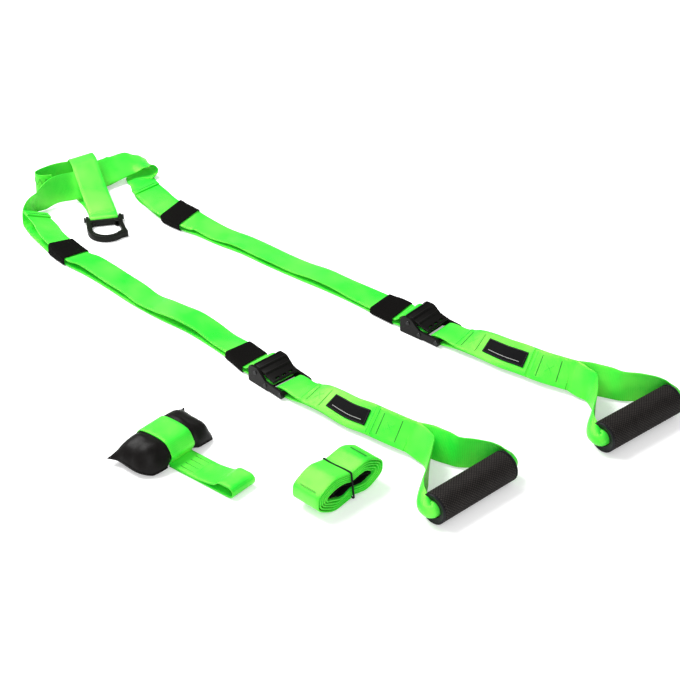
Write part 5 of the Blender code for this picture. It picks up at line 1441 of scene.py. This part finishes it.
def build_handle(side):
    """Doubled strap round the rear bar, its label and the loop that runs through the grip."""
    body = "handle_" + side
    matrix = handle_matrix(side)
    centre_frames = frames_along(smooth_rows(handle_rows(side)))
    open_by = REAR_BAR_RADIUS + CLEAR + WEB_THICK / 2
    shut_by = (WEB_THICK + SEW_GAP) / 2
    top = []
    bottom = []
    for centre, across, normal, _ in centre_frames:
        closed = eased(centre.x / EYE_CLOSE)
        top.append((centre + normal * (EYE_RISE + (shut_by - EYE_RISE) * closed), across, normal, 0))
        bottom.append((centre - normal * (open_by + (shut_by - open_by) * closed), across, -normal, 0))
    turn = []
    middle_z = (EYE_RISE - open_by) / 2
    half_z = (EYE_RISE + open_by) / 2
    for angle in half_turn(14, sign=-1):
        place = Vector((EYE_AHEAD * cos(angle), 0, middle_z + half_z * sin(angle)))
        outward = Vector((cos(angle) / EYE_AHEAD, 0, sin(angle) / half_z)).normalized()
        turn.append((place, Vector((0, 1, 0)), outward, 0))
    frames = moved(list(reversed(bottom)) + turn + top, matrix)
    lengths = lengths_of(frames)
    eye = lengths[len(bottom) + len(turn)]

    def ridges(length):
        return sum(RIDGE_HEIGHT * bump(length, eye + place, RIDGE_HALF, RIDGE_EASE)
                   for place in HANDLE_RIDGES)

    strap = ribbon("handle_webbing_" + side, frames, body=body, swell=ridges, wrinkle=0.00006, seed=4.0)
    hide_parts("handle_strap_" + side)
    dark, pale = [], []
    for start, end in (HANDLE_SEAMS[:2], HANDLE_SEAMS[2:]):
        for place in (start, end):
            dark.append(bar_lines(eye + place, 0.0135, 0.0013, 0.0008))
        middle, reach = eye + (start + end) / 2, (end - start) / 5
        for low in (-0.005, 0.005):
            pale.append([(middle - reach, low), (middle + reach, -low)])
    for place in HANDLE_RIDGES:
        pale.append([(eye + place, -SEAM_REACH), (eye + place, SEAM_REACH)])
    stitches("handle_seam_" + side, frames, pale, "pale_thread", body, extra=ridges)
    stitches("handle_bar_tacks_" + side, frames, dark, "thread", body)

    label = []
    rise = shut_by + WEB_THICK / 2 + 2 * CLEAR + LABEL_THICK / 2
    for centre, across, normal, _ in centre_frames:
        if LABEL_START - CLEAR <= centre.x <= LABEL_END + CLEAR:
            label.append((centre + normal * rise, across, normal, 0))
    label = moved(label, matrix)
    patch = ribbon("handle_patch_" + side, label, "label", body, LABEL_WIDTH, LABEL_THICK)
    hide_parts("handle_label_" + side)
    reach = lengths_of(label)[-1]
    hem, edge = LABEL_HEM, LABEL_WIDTH / 2 - LABEL_HEM
    border = [(hem, -edge), (reach - hem, -edge), (reach - hem, edge), (hem, edge), (hem, -edge)]
    stitches("handle_patch_seam_" + side, label, [border], "black_thread", body, thick=LABEL_THICK,
             length=0.0018)
    stripe = [(reach * 0.12, -edge * 0.55), (reach * 0.88, -edge * 0.55)]
    stitches("handle_patch_stripe_" + side, label, [stripe], "white_thread", body, thick=LABEL_THICK,
             length=0.0012)

    grip_turn = GRIP_TURN[side]
    centre_end, top_end, bottom_end = centre_frames[-1], top[-1], bottom[-1]
    tangent = centre_end[1].cross(centre_end[2]).normalized()
    ends = []
    for end, first in ((bottom_end, True), (top_end, False)):
        place = end[0] + tangent * SEAM_GAP
        ahead = place + tangent * SPLIT_GAP * 4
        pair = [(*place, *centre_end[1], 0), (*ahead, *centre_end[1], 0)]
        ends.append(pair if first else pair[::-1])
    middle = []
    for across, along, up, lean_across, lean_along, curl in LOOP_SHARES:
        place = loop_point(side, across, along, up)
        lean = Vector((lean_across * cos(grip_turn) - lean_along * sin(grip_turn),
                       lean_across * sin(grip_turn) + lean_along * cos(grip_turn), 1)).normalized()
        middle.append((*place, *lean, curl * CURL_ANGLE))
    rows = ends[0] + middle + ends[1]
    loop = moved(laid(rows, -REAR_BAR_Z), matrix)
    band = ribbon("loop_webbing_" + side, loop, body=body, columns=14)
    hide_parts("handle_loop_" + side)


CELLS_PER_DIAMOND = 5
DIAMOND_FADE = 0.003


def build_grip(side):
    """Rubber sleeve with diamonds between two lipped caps, on its core tube."""
    sizes = bpy.context.scene.trainer_sizes
    body = "grip_" + side
    matrix = grip_matrix(side)
    half = GRIP_LENGTH / 2
    core = BORE_RADIUS + CORE_WALL
    inner = core + CLEAR
    lip = half - CAP_LIP
    edge = GRIP_RADIUS - CAP_RIM / 2
    depth = sizes.knurl_depth
    along_count = sizes.knurl_along * CELLS_PER_DIAMOND
    start, end = -lip + CAP_RIM, lip - CAP_RIM

    def diamonds(angle, place, radius):
        if radius < GRIP_RADIUS - CAP_RIM / 4:
            return 0.0
        a = (place - start) / (end - start) * sizes.knurl_along
        b = angle / (2 * pi) * sizes.knurl_around
        first = abs(((a + b) % 1.0) - 0.5) * 2
        second = abs(((a - b) % 1.0) - 0.5) * 2
        ridge = 1 - max(first, second) ** 3
        fade = eased(min(place - start, end - place) / DIAMOND_FADE)
        return depth * (ridge - 1) * fade

    profile = [(inner, lip - CLEAR), (edge - 0.0002, lip - CLEAR), (edge + 0.0002, lip - CLEAR * 2)]
    for step in range(along_count + 1):
        profile.append((GRIP_RADIUS, end + (start - end) * step / along_count))
    profile += [(edge + 0.0002, -lip + CLEAR * 2), (edge - 0.0002, -lip + CLEAR), (inner, -lip + CLEAR)]
    sleeve = lathe("grip_rubber_" + side, profile, matrix, "rubber", body,
                   sizes.knurl_around * CELLS_PER_DIAMOND, diamonds)
    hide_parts("grip_sleeve_" + side)
    for name, sign in (("near", -1), ("far", 1)):
        outline = [(BORE_RADIUS, lip + CLEAR), (BORE_RADIUS, half - CAP_RIM * 1.1),
                   (BORE_RADIUS + 0.0002, half - CAP_RIM * 0.9),
                   (BORE_RADIUS + CAP_RIM * 0.7, half - CAP_RIM * 0.62),
                   (core, half - CAP_RIM * 0.55), (edge - CAP_RIM * 1.7, half - CAP_RIM * 0.42),
                   (edge - CAP_RIM * 1.15, half - CAP_RIM * 0.1), (edge - CAP_RIM * 0.7, half - 0.00004),
                   (edge - CAP_RIM * 0.2, half), (edge + CAP_RIM * 0.22, half - CAP_RIM * 0.14),
                   (GRIP_RADIUS - 0.00004, half - CAP_RIM * 0.5), (GRIP_RADIUS, half - CAP_RIM * 0.8),
                   (GRIP_RADIUS, lip + CLEAR + 0.0003), (GRIP_RADIUS - 0.0003, lip + CLEAR)]
        outline = [(radius, sign * place) for radius, place in outline]
        if sign < 0:
            outline = outline[::-1]
        cap = lathe(f"grip_end_{name}_{side}", outline[::-1], matrix, "cap", body)
        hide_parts(f"grip_cap_{name}_{side}")
    dress("grip_core_" + side, "board", 0.0)


# Door anchor

def pillow_section(u, w):
    """Place across and over the floor of a point of the pillow under its strap, u across and w up."""
    pinch = PILLOW_SHAPE_SHARE
    crown = max(1 - abs(u) ** 3, 0) ** 0.5
    half = PILLOW_HEIGHT / 2 * (pinch + (1 - pinch) * crown) * (1 - pinch)
    wide = PILLOW_WIDTH / 2 * (1 - pinch)
    height = PILLOW_HEIGHT / 2 - pinch * PILLOW_HEIGHT / 2 + w * half
    lowest = PILLOW_FLAT + (WEB_THICK + 2 * CLEAR)
    return u * wide, max(height, lowest) - PILLOW_FLAT


# Ends of the pillow: how round, and how far its left ear stands out along and across
NEAR_END = (0.20, 0.06, 0.08)
FAR_END = (0.10, 0.10, -0.12)
EAR_FROM, EAR_SPAN = 0.70, 0.30
# Height of the pillow's seam, its dips at the right end and at the sides, and its rise at the far left ear
SEAM_HEIGHT, SEAM_END_DIP, SEAM_SIDE_DIP, SEAM_EAR_RISE = 0.0100, 0.0050, 0.002, 0.0085
PILLOW_SQUARENESS = 2.3
PILLOW_FULLNESS = 0.56


def pillow_point(u, v, top):
    """A point of the stuffed cover: u across, v along, over or under its seam."""
    ear = max(abs(u) - EAR_FROM, 0) / EAR_SPAN * max(abs(v) - EAR_FROM, 0) / EAR_SPAN
    left = (1 - u) / 2
    roundness, ear_along, ear_across = NEAR_END if v < 0 else FAR_END
    round_end = (1 - left) * roundness
    along = PILLOW_LENGTH / 2 * (1 - round_end * abs(u) ** 2.4 * v * v + ear_along * ear * left)
    side = PILLOW_WIDTH / 2 * (1 - round_end * 1.15 * v**4 + ear_across * ear * left)
    dip = SEAM_END_DIP * abs(v) ** 3 * (1 - left)
    seam = SEAM_HEIGHT - dip - SEAM_SIDE_DIP * abs(u) ** 4 + SEAM_EAR_RISE * max(v, 0) ** 3 * left
    across_power = PILLOW_SQUARENESS + 1.1 * left
    along_power = PILLOW_SQUARENESS + 0.3 * left
    swell = max((1 - abs(u) ** across_power) * (1 - abs(v) ** along_power), 0.0) ** PILLOW_FULLNESS
    if top:
        height = seam + (PILLOW_HEIGHT - seam) * swell
    else:
        height = seam * (1 - min(swell * 1.5, 1))
    return Vector((u * side, v * along, max(height, OVER_FLOOR)))


PILLOW_MOVES = (
    # place in shares of width, length and height, radius, push outwards
    (-0.55, -0.75, 0.55, 0.017, 0.0022),
    (0.30, -0.72, 0.75, 0.020, 0.0020),
    (0.65, -0.55, 0.45, 0.014, -0.0012),
    (-0.10, -0.95, 0.35, 0.012, -0.0010),
    (-0.45, 0.70, 0.70, 0.016, 0.0018),
    (0.25, 0.62, 0.80, 0.013, -0.0014),
    (0.50, 0.85, 0.50, 0.012, 0.0014),
    (-0.15, 0.92, 0.45, 0.010, -0.0012),
    (0.05, -0.45, 0.95, 0.010, -0.0010),
)


PILLOW_ROWS = 90
PILLOW_AROUND = 56
STRAP_HALF = WEB_WIDTH / 2 + 0.0012
PIPING_RADIUS = 0.0009
GATHER_HEIGHT, GATHER_REACH = 0.0004, 0.012
PUCKER_HEIGHT = 0.0002
FOLD_HEIGHT = 0.0006


def pillow_mesh():
    """Closed cover of the pillow, drawn in where its strap runs."""
    rows, around = PILLOW_ROWS, PILLOW_AROUND
    strap_share = STRAP_HALF / (PILLOW_LENGTH / 2)
    verts, faces = [], []
    for row in range(rows + 1):
        v = -1 + 2 * row / rows
        v = v * (1.22 - 0.22 * v * v)
        waist = bump(v, 0, strap_share, 0.17)
        for k in range(around):
            top = k <= around // 2
            share = k / (around / 2) if top else (k - around / 2) / (around / 2)
            u = -cos(pi * share) if top else cos(pi * share)
            loose = pillow_point(u, v, top)
            held_x, held_z = pillow_section(u, 1 if top else -1)
            verts.append(loose.lerp(Vector((held_x, loose.y, held_z)), waist))
    for row in range(rows):
        for k in range(around):
            a, b = row * around + k, row * around + (k + 1) % around
            faces.append((a, a + around, b + around, b))
    for row, flip in ((0, False), (rows, True)):
        base = row * around
        for k in range(around // 2):
            a, b = base + k, base + k + 1
            c, d = base + (around - k - 1) % around, base + (around - k) % around
            face = [a, b, c, d] if k else [a, b, c]
            face = [index for n, index in enumerate(face) if index not in face[:n]]
            if len(face) > 2:
                faces.append(tuple(face if not flip else face[::-1]))
    return closed_mesh("pillow_cover", verts, faces, 0.00001)


def work_pillow(mesh):
    """Pushes like those of a hand, gathers at the strap, puckers at the ends and soft folds."""
    out = [vert.normal.copy() for vert in mesh.vertices]
    for vert, normal in zip(mesh.vertices, out):
        x, y, z = vert.co
        free = 1 - bump(y, 0, STRAP_HALF, 0.006)
        push = 0.0
        for across, along, up, radius, depth in PILLOW_MOVES:
            place = Vector((across * PILLOW_WIDTH / 2, along * PILLOW_LENGTH / 2, up * PILLOW_HEIGHT))
            push += depth * eased(1 - (vert.co - place).length / radius)
        from_strap = abs(y) - WEB_WIDTH / 2
        gather = GATHER_HEIGHT * sin(x * 900 + z * 500) * max(0.0, 1 - from_strap / GATHER_REACH)
        ends = max(0.0, abs(y) / (PILLOW_LENGTH / 2) - 0.72) / 0.28
        pucker = PUCKER_HEIGHT * sin(x * 760) * ends
        fold = noise.noise(Vector((x * 75, y * 46, z * 70))) * FOLD_HEIGHT
        seam = 1 if abs(normal.z) > 0.25 else 0.3
        vert.co += normal * (push + gather + pucker + fold) * free * seam
        vert.co.z = max(vert.co.z, OVER_FLOOR)


def piping_path(sign, matrix):
    """Cord along the seam of one end of the pillow, from the strap round the end and back."""
    first = (WEB_WIDTH / 2 + 0.010) / (PILLOW_LENGTH / 2)
    side_steps = [first + (1 - first) * k / 12 for k in range(13)]
    places = [(-1, v) for v in side_steps]
    places += [(-1 + k / 10, 1) for k in range(1, 20)]
    places += [(1, v) for v in side_steps[::-1]]
    path = []
    for u, v in places:
        point = pillow_point(u, v * sign, True)
        outward = Vector((point.x / (PILLOW_WIDTH / 2), point.y / (PILLOW_LENGTH / 2), 0)).normalized()
        path.append(matrix @ (point + outward * 0.0002))
    return path


def build_pillow(matrix):
    """Stuffed pillow with piping along the seam of each end."""
    mesh = pillow_mesh()
    made = linked("pillow_cover", mesh)
    work_pillow(mesh)
    mesh.transform(matrix)
    mesh.update()
    mesh.materials.append(material_of("pillow"))
    mesh.shade_smooth()
    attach(made, "door_anchor")
    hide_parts("door_pillow")
    for number, sign in enumerate((-1, 1)):
        path = piping_path(sign, matrix)
        tube(f"pillow_piping_{number}", path, PIPING_RADIUS, "pillow", "door_anchor", sides=8)


def wrap_frames():
    """Webbing round the pillow's waist, its ends overlapping, and where the sewn loop starts."""
    sides = [(-1 + k / 4, -1) for k in range(9)] + [(1, 0)]
    sides += [(1 - k / 4, 1) for k in range(9)] + [(-1, 0)]
    outline = [Vector(pillow_section(u, w)) for u, w in sides]
    reach = CLEAR + WEB_THICK / 2
    rows = []
    count = len(outline)
    for k in range(count):
        ahead = (outline[(k + 1) % count] - outline[k - 1]).normalized()
        place = outline[k] + Vector((ahead.y, -ahead.x)) * reach
        rows.append((place.x, 0, place.y, 0, 1, 0, 0))
    foot, corner = rows[7], rows[8]
    climb = (FLOOR_LAYER_Z + LAYER_STEP + WEB_THICK / 2 - foot[2]) / (corner[2] - foot[2])
    start_x = foot[0] + (corner[0] - foot[0]) * climb + WEB_THICK * 2 / 3 + SEW_GAP
    rows = rows[4:] + rows[:5]
    last = rows[-1]
    rows[-1] = (last[0] - SEW_GAP - CLEAR, *last[1:])
    return laid(rows), start_x


def build_door_anchor():
    """Pillow, the webbing round it and the sewn loop at its side."""
    matrix = placed("door_anchor_lift", PILLOW_TURN)
    build_pillow(matrix)
    frames, start_x = wrap_frames()
    frames = moved(frames, matrix)
    wrap = ribbon("door_webbing_wrap", frames, body="door_anchor", wrinkle=0.00006, seed=6.0)
    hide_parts("door_wrap")

    low = FLOOR_LAYER_Z
    radius = DOOR_LOOP_RISE / 2
    end_x = start_x + DOOR_LOOP_LENGTH
    bend_x = end_x - radius
    sewn = start_x + DOOR_LOOP_SEWN
    halfway = (sewn + end_x) / 2
    rows = [(start_x, 0, low), (sewn, 0, low), (halfway, 0, low), (bend_x, 0, low)]
    centre_z = low + radius - WEB_THICK / 2
    reach = centre_z - low
    for angle in half_turn(14):
        rows.append((bend_x + radius * cos(angle), 0, centre_z + reach * sin(angle)))
    rows += [(bend_x, 0, centre_z + reach), (end_x - 3 * radius, 0, centre_z + reach * 0.86),
             (halfway, 0, low + reach), (sewn + radius, 0, low + LAYER_STEP + SEW_GAP),
             (sewn, 0, low + LAYER_STEP), (start_x, 0, low + LAYER_STEP)]
    loop = moved(laid([(*row, 0, 1, 0, 0) for row in rows]), matrix)
    band = ribbon("door_webbing_loop", loop, body="door_anchor", wrinkle=0.00004, seed=7.0)
    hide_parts("door_loop")
    total = lengths_of(loop)[-1]
    lines = []
    for k in range(4):
        side = -0.0125 + 0.0083 * k
        lines.append([(total - 0.0120, side), (total - 0.0330, side)])
    stitches("door_loop_seam", loop, lines, "thread", "door_anchor", face=-1, length=0.0022)
    across = [[(total - 0.0350, -0.016), (total - 0.0350, 0.016)]]
    stitches("door_loop_end_seam", loop, across, "pale_thread", "door_anchor", face=-1, length=0.0022)


# Wound extension strap

SLACK_TURNS = 3.2
SLACK_HEIGHT = 0.0011
ROLL_STEPS = 36
CORE_STEPS = 60
TIE_SAG = 0.0008


def roll_point(turn):
    """Middle of the wound strap after this many turns, in the plane of its spiral."""
    angle = 2 * pi * turn
    waist = ROLL_WAIST + ROLL_WAIST_STEP * turn
    lobe = ROLL_LOBE + ROLL_LOBE_STEP * turn
    half = ROLL_END + ROLL_END_STEP * turn
    c, s = cos(angle), sin(angle)
    over = 1 if s > 0 else -1
    y = half * (abs(c) ** 0.78) * (1 if c > 0 else -1)
    along = min(abs(y) / half, 1)
    belly = sin(pi * along) ** 2
    z = (waist + (lobe - waist) * belly) * (abs(s) ** 0.58) * over
    slack = max(0.0, 1 - turn / SLACK_TURNS)
    loose = SLACK_HEIGHT * slack * noise.noise(Vector((y * 95, z * 95, turn * 0.7)))
    return Vector((0, y + loose * c, z + loose * 1.4 * over))


def core_point(turn):
    """Middle of the folded webbing in the roll, lower at its middle than at its two folds."""
    angle = 2 * pi * turn
    c, s = cos(angle), sin(angle)
    along = abs(c) ** 0.75
    swell = 0.0015 + 0.0036 * sin(pi * min(along * 1.02, 1)) ** 2 * (1.25 if c < 0 else 0.9)
    return 0, 0.0325 * along * (1 if c > 0 else -1), swell * abs(s) ** 0.6 * (1 if s > 0 else -1)


def tie_path(low, high, matrix):
    """Round the roll from low to high: a rounded rectangle that sags a little over the top."""
    wide = ROLL_WIDTH / 2 + TIE_RADIUS * 0.9
    corner = TIE_CORNER
    outline = []
    for sign, z, start in ((1, low + corner, -90), (1, high - corner, 0), (-1, high - corner, 90),
                           (-1, low + corner, 180)):
        for step in range(7):
            angle = radians(start + 90 * step / 6)
            outline.append((sign * (wide - corner) + corner * cos(angle), z + corner * sin(angle)))
    path = []
    for i, (x, z) in enumerate(outline):
        x2, z2 = outline[(i + 1) % len(outline)]
        count = max(1, ceil(((x2 - x) ** 2 + (z2 - z) ** 2) ** 0.5 / 0.002))
        for step in range(count):
            px, pz = x + (x2 - x) * step / count, z + (z2 - z) * step / count
            sag = TIE_SAG * cos(pi * px / wide / 2) * (1 if pz > 0 else 0)
            path.append(matrix @ Vector((px, 0.0010 * sin(px * 120) - pz * 0.12, pz - sag)))
    return path


def build_extension():
    """Strap wound loosely round its folded black core, held by a thin elastic tie."""
    matrix = placed("extension_lift", 0.0)
    last = ROLL_TURNS * ROLL_STEPS - ROLL_STEPS // 4
    places = [roll_point(step / ROLL_STEPS) for step in range(2, last + 1)]
    lift = -min(place.z for place in places) + WEB_THICK / 2 + CLEAR - matrix.translation.z
    matrix = Matrix.Translation((*ROLL_SHIFT, lift)) @ matrix
    rows = [(*place, 1, 0, 0, 0) for place in places]
    frames = moved(frames_along(smooth_rows(rows, 0.0016)), matrix)
    strap = ribbon("extension_webbing", frames, body="extension", width=ROLL_WIDTH)
    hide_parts("extension_roll")

    rows = [(*core_point(0.03 + 0.94 * step / CORE_STEPS), 1, 0, 0, 0) for step in range(CORE_STEPS + 1)]
    core = moved(frames_along(smooth_rows(rows, FINE_ROW_STEP)), matrix)
    inner = ribbon("core_webbing", core, "elastic", "extension", width=CORE_WIDTH, thick=CORE_THICK)
    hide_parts("extension_core")

    middle = matrix.translation
    outer = [row[0].z - middle.z for row in frames if abs(row[0].y - middle.y) < 0.004]
    low = min(outer) - WEB_THICK / 2 - TIE_RADIUS * 0.8
    high = max(outer) + WEB_THICK / 2 + TIE_RADIUS * 0.8
    tube("extension_tie", tie_path(low, high, matrix), TIE_RADIUS, "cord", "extension", closed=True)

    lengths = lengths_of(frames)
    outer_turn = [i for i, length in enumerate(lengths) if length > lengths[-1] - 0.25]
    for number, (y, z) in enumerate(((0.033, 0.021), (-0.0480, 0.0100))):
        wanted = middle + Vector((0, y, z))
        row = min(outer_turn, key=lambda i: (frames[i][0].yz - wanted.yz).length)
        face = 1 if frames[row][2].dot(frames[row][0] - middle) > 0 else -1
        lines = []
        for along in (lengths[row], lengths[row] + 0.0012):
            lines.append([(along, -0.0125), (along, 0.0125)])
        stitches(f"extension_seam_{number}", frames, lines, "thread", "extension", face=face, length=0.0016)


# Stage

FLOOR_HALF = 8.0
FLOOR_Z = -0.0004
PAPER = (0.82, 0.82, 0.82, 1)
WHITE = (1, 1, 1, 1)
PAPER_GLOW = 0.30
AIR_STRENGTH = 0.52
GLOSSY_AIR = -0.42
LAMPS_AIM = (0.05, 0.05, 0.0)
LAMPS = (
    # name, place, size, power
    ("window_lamp", (-1.15, -0.35, 2.0), 1.3, 84.0),
    ("fill_lamp", (1.5, -1.3, 1.0), 1.6, 24.0),
)
CAMERA_PLACE = (1.602, -1.659, 1.498)
CAMERA_AHEAD = (-0.583, 0.603, -0.545)
CAMERA_RIGHT = (0.719, 0.695, 0.0)
PHOTO_PIXELS = 680
FOCAL_PIXELS = 2200
SENSOR_WIDTH = 36


def build_floor():
    """Pale floor that takes the object's shadow and glows a little where the camera sees it."""
    mesh = bpy.data.meshes.new("studio_floor")
    corners = [(x * FLOOR_HALF, y * FLOOR_HALF, FLOOR_Z) for x, y in ((-1, -1), (1, -1), (1, 1), (-1, 1))]
    mesh.from_pydata(corners, [], [(0, 1, 2, 3)])
    floor = linked("studio_floor", mesh)
    made = bpy.data.materials.new("studio_paper")
    made.use_nodes = True
    tree = made.node_tree
    tree.nodes.remove(tree.nodes["Principled BSDF"])
    seen = put(tree, "ShaderNodeLightPath").outputs["Is Camera Ray"]
    paper = put(tree, "ShaderNodeBsdfDiffuse", {"Color": PAPER})
    strength = calc(tree, "MULTIPLY", seen, PAPER_GLOW)
    glow = put(tree, "ShaderNodeEmission", {"Color": WHITE, "Strength": strength})
    both = put(tree, "ShaderNodeAddShader", {0: paper.outputs[0], 1: glow.outputs[0]})
    tree.links.new(both.outputs[0], tree.nodes["Material Output"].inputs["Surface"])
    mesh.materials.append(made)


def build_air(scene):
    """Even light from all round: white to the camera, duller to the object and in its gloss."""
    world = bpy.data.worlds.new("studio_air")
    world.use_nodes = True
    tree = world.node_tree
    background = tree.nodes["Background"]
    background.inputs["Color"].default_value = WHITE
    path = put(tree, "ShaderNodeLightPath")
    shine = calc(tree, "MULTIPLY", path.outputs["Is Glossy Ray"], GLOSSY_AIR)
    seen = spread_of(tree, path.outputs["Is Camera Ray"], AIR_STRENGTH, 1.0)
    tree.links.new(calc(tree, "ADD", seen, shine), background.inputs["Strength"])
    scene.world = world


def build_lamps():
    """Two large soft lamps."""
    for name, place, size, power in LAMPS:
        lamp = bpy.data.lights.new(name, "AREA")
        lamp.shape = "SQUARE"
        lamp.size = size
        lamp.energy = power
        holder = linked(name, lamp)
        holder.location = place
        aim = Vector(place) - Vector(LAMPS_AIM)
        holder.rotation_euler = aim.to_track_quat("Z", "Y").to_euler()


def build_camera(scene):
    """Camera at the photograph's place, angle and focal length."""
    data = bpy.data.cameras.new("photo_camera")
    camera = linked("photo_camera", data)
    right = Vector(CAMERA_RIGHT).normalized()
    ahead = Vector(CAMERA_AHEAD).normalized()
    ahead = (ahead - right * ahead.dot(right)).normalized()
    up = right.cross(ahead)
    place = Vector(CAMERA_PLACE) + SHIFT
    camera.matrix_world = Matrix(((right.x, up.x, -ahead.x, place.x), (right.y, up.y, -ahead.y, place.y),
                                  (right.z, up.z, -ahead.z, place.z), (0, 0, 0, 1)))
    data.sensor_width = SENSOR_WIDTH
    data.lens = FOCAL_PIXELS / PHOTO_PIXELS * SENSOR_WIDTH
    data.clip_start = 0.05
    data.clip_end = 50
    scene.camera = camera


def build_stage():
    """Pale floor, soft lamps and the camera."""
    scene = bpy.context.scene
    build_floor()
    build_air(scene)
    build_lamps()
    build_camera(scene)
    scene.view_settings.view_transform = "Standard"


class TrainerYoke(bpy.types.Operator):
    """Builds the yoke webbing and the anchor strap."""

    bl_idname = "trainer.yoke"
    bl_label = "Yoke and anchor strap"

    def execute(self, context):
        build_yoke()
        return {"FINISHED"}


class TrainerRing(bpy.types.Operator):
    """Finishes the anchor ring, its bar and its gate."""

    bl_idname = "trainer.ring"
    bl_label = "Anchor ring"

    def execute(self, context):
        build_ring()
        dress("carabiner_gate", "coated", 0.0004)
        dress("carabiner_bar", "steel", 0.0003)
        dress("carabiner_gate_pin", "steel", 0.0002)
        return {"FINISHED"}


class TrainerLegWebbing(bpy.types.Operator):
    """Builds both layers of each leg, the pull tabs and the webbing in the buckles."""

    bl_idname = "trainer.leg_webbing"
    bl_label = "Leg webbing"

    def execute(self, context):
        for side in SIDES:
            build_leg_webbing(side)
        return {"FINISHED"}


class TrainerKeepers(bpy.types.Operator):
    """Builds the elastic keepers."""

    bl_idname = "trainer.keepers"
    bl_label = "Elastic keepers"

    def execute(self, context):
        for side in SIDES:
            build_keeper("elastic_upper_" + side, "keeper_upper_" + side, side,
                         UPPER_KEEPER_SHARE[side] * LEG_LENGTH, "tail_" + side)
            build_keeper("elastic_lower_" + side, "keeper_lower_" + side, side, -LOWER_KEEPER_BACK,
                         "buckle_" + side)
        return {"FINISHED"}


class TrainerBuckles(bpy.types.Operator):
    """Finishes the cam buckles with their levers, pins and springs."""

    bl_idname = "trainer.buckles"
    bl_label = "Cam buckles"

    def execute(self, context):
        for side in SIDES:
            dress("buckle_frame_" + side, "plastic", 0.0005)
            build_lever(side)
            for node in ("cam_pin_", "turn_bar_", "rear_bar_"):
                dress(node + side, "steel", 0.0002)
            dress("cam_spring_" + side, "steel", 0.0)
        return {"FINISHED"}


class TrainerHandles(bpy.types.Operator):
    """Builds the sewn handle straps, their labels and loops."""

    bl_idname = "trainer.handles"
    bl_label = "Handle straps"

    def execute(self, context):
        for side in SIDES:
            build_handle(side)
        return {"FINISHED"}


class TrainerGrips(bpy.types.Operator):
    """Builds the rubber grips with their end caps."""

    bl_idname = "trainer.grips"
    bl_label = "Grips"

    def execute(self, context):
        for side in SIDES:
            build_grip(side)
        return {"FINISHED"}


class TrainerDoorAnchor(bpy.types.Operator):
    """Builds the door anchor."""

    bl_idname = "trainer.door_anchor"
    bl_label = "Door anchor"

    def execute(self, context):
        build_door_anchor()
        return {"FINISHED"}


class TrainerExtension(bpy.types.Operator):
    """Builds the wound extension strap."""

    bl_idname = "trainer.extension"
    bl_label = "Extension strap"

    def execute(self, context):
        build_extension()
        return {"FINISHED"}


class TrainerStage(bpy.types.Operator):
    """Builds the floor, the lamps and the camera."""

    bl_idname = "trainer.stage"
    bl_label = "Stage"

    def execute(self, context):
        build_stage()
        return {"FINISHED"}


STEPS = (TrainerStage, TrainerLegWebbing, TrainerKeepers, TrainerYoke, TrainerRing, TrainerBuckles,
         TrainerHandles, TrainerGrips, TrainerDoorAnchor, TrainerExtension)


class TrainerPanel(bpy.types.Panel):
    """Lists the sizes, the colours and the steps."""

    bl_idname = "VIEW3D_PT_trainer"
    bl_label = "Suspension Trainer"
    bl_space_type = "VIEW_3D"
    bl_region_type = "UI"
    bl_category = "Trainer"

    def draw(self, context):
        for group in (context.scene.trainer_sizes, context.scene.trainer_colours):
            for name in group.bl_rna.properties.keys():
                if name not in ("rna_type", "name"):
                    self.layout.prop(group, name)
        for step in STEPS:
            self.layout.operator(step.bl_idname)


CLASSES = (TrainerSizes, TrainerColours, *STEPS, TrainerPanel)


def register():
    for cls in CLASSES:
        bpy.utils.register_class(cls)
    bpy.types.Scene.trainer_sizes = PointerProperty(type=TrainerSizes)
    bpy.types.Scene.trainer_colours = PointerProperty(type=TrainerColours)


def unregister():
    del bpy.types.Scene.trainer_sizes
    del bpy.types.Scene.trainer_colours
    for cls in reversed(CLASSES):
        bpy.utils.unregister_class(cls)


def main():
    register()
    bpy.ops.trainer.stage()
    bpy.ops.trainer.leg_webbing()
    bpy.ops.trainer.keepers()
    bpy.ops.trainer.yoke()
    bpy.ops.trainer.ring()
    bpy.ops.trainer.buckles()
    bpy.ops.trainer.handles()
    bpy.ops.trainer.grips()
    bpy.ops.trainer.door_anchor()
    bpy.ops.trainer.extension()


if __name__ == "__main__":
    main()
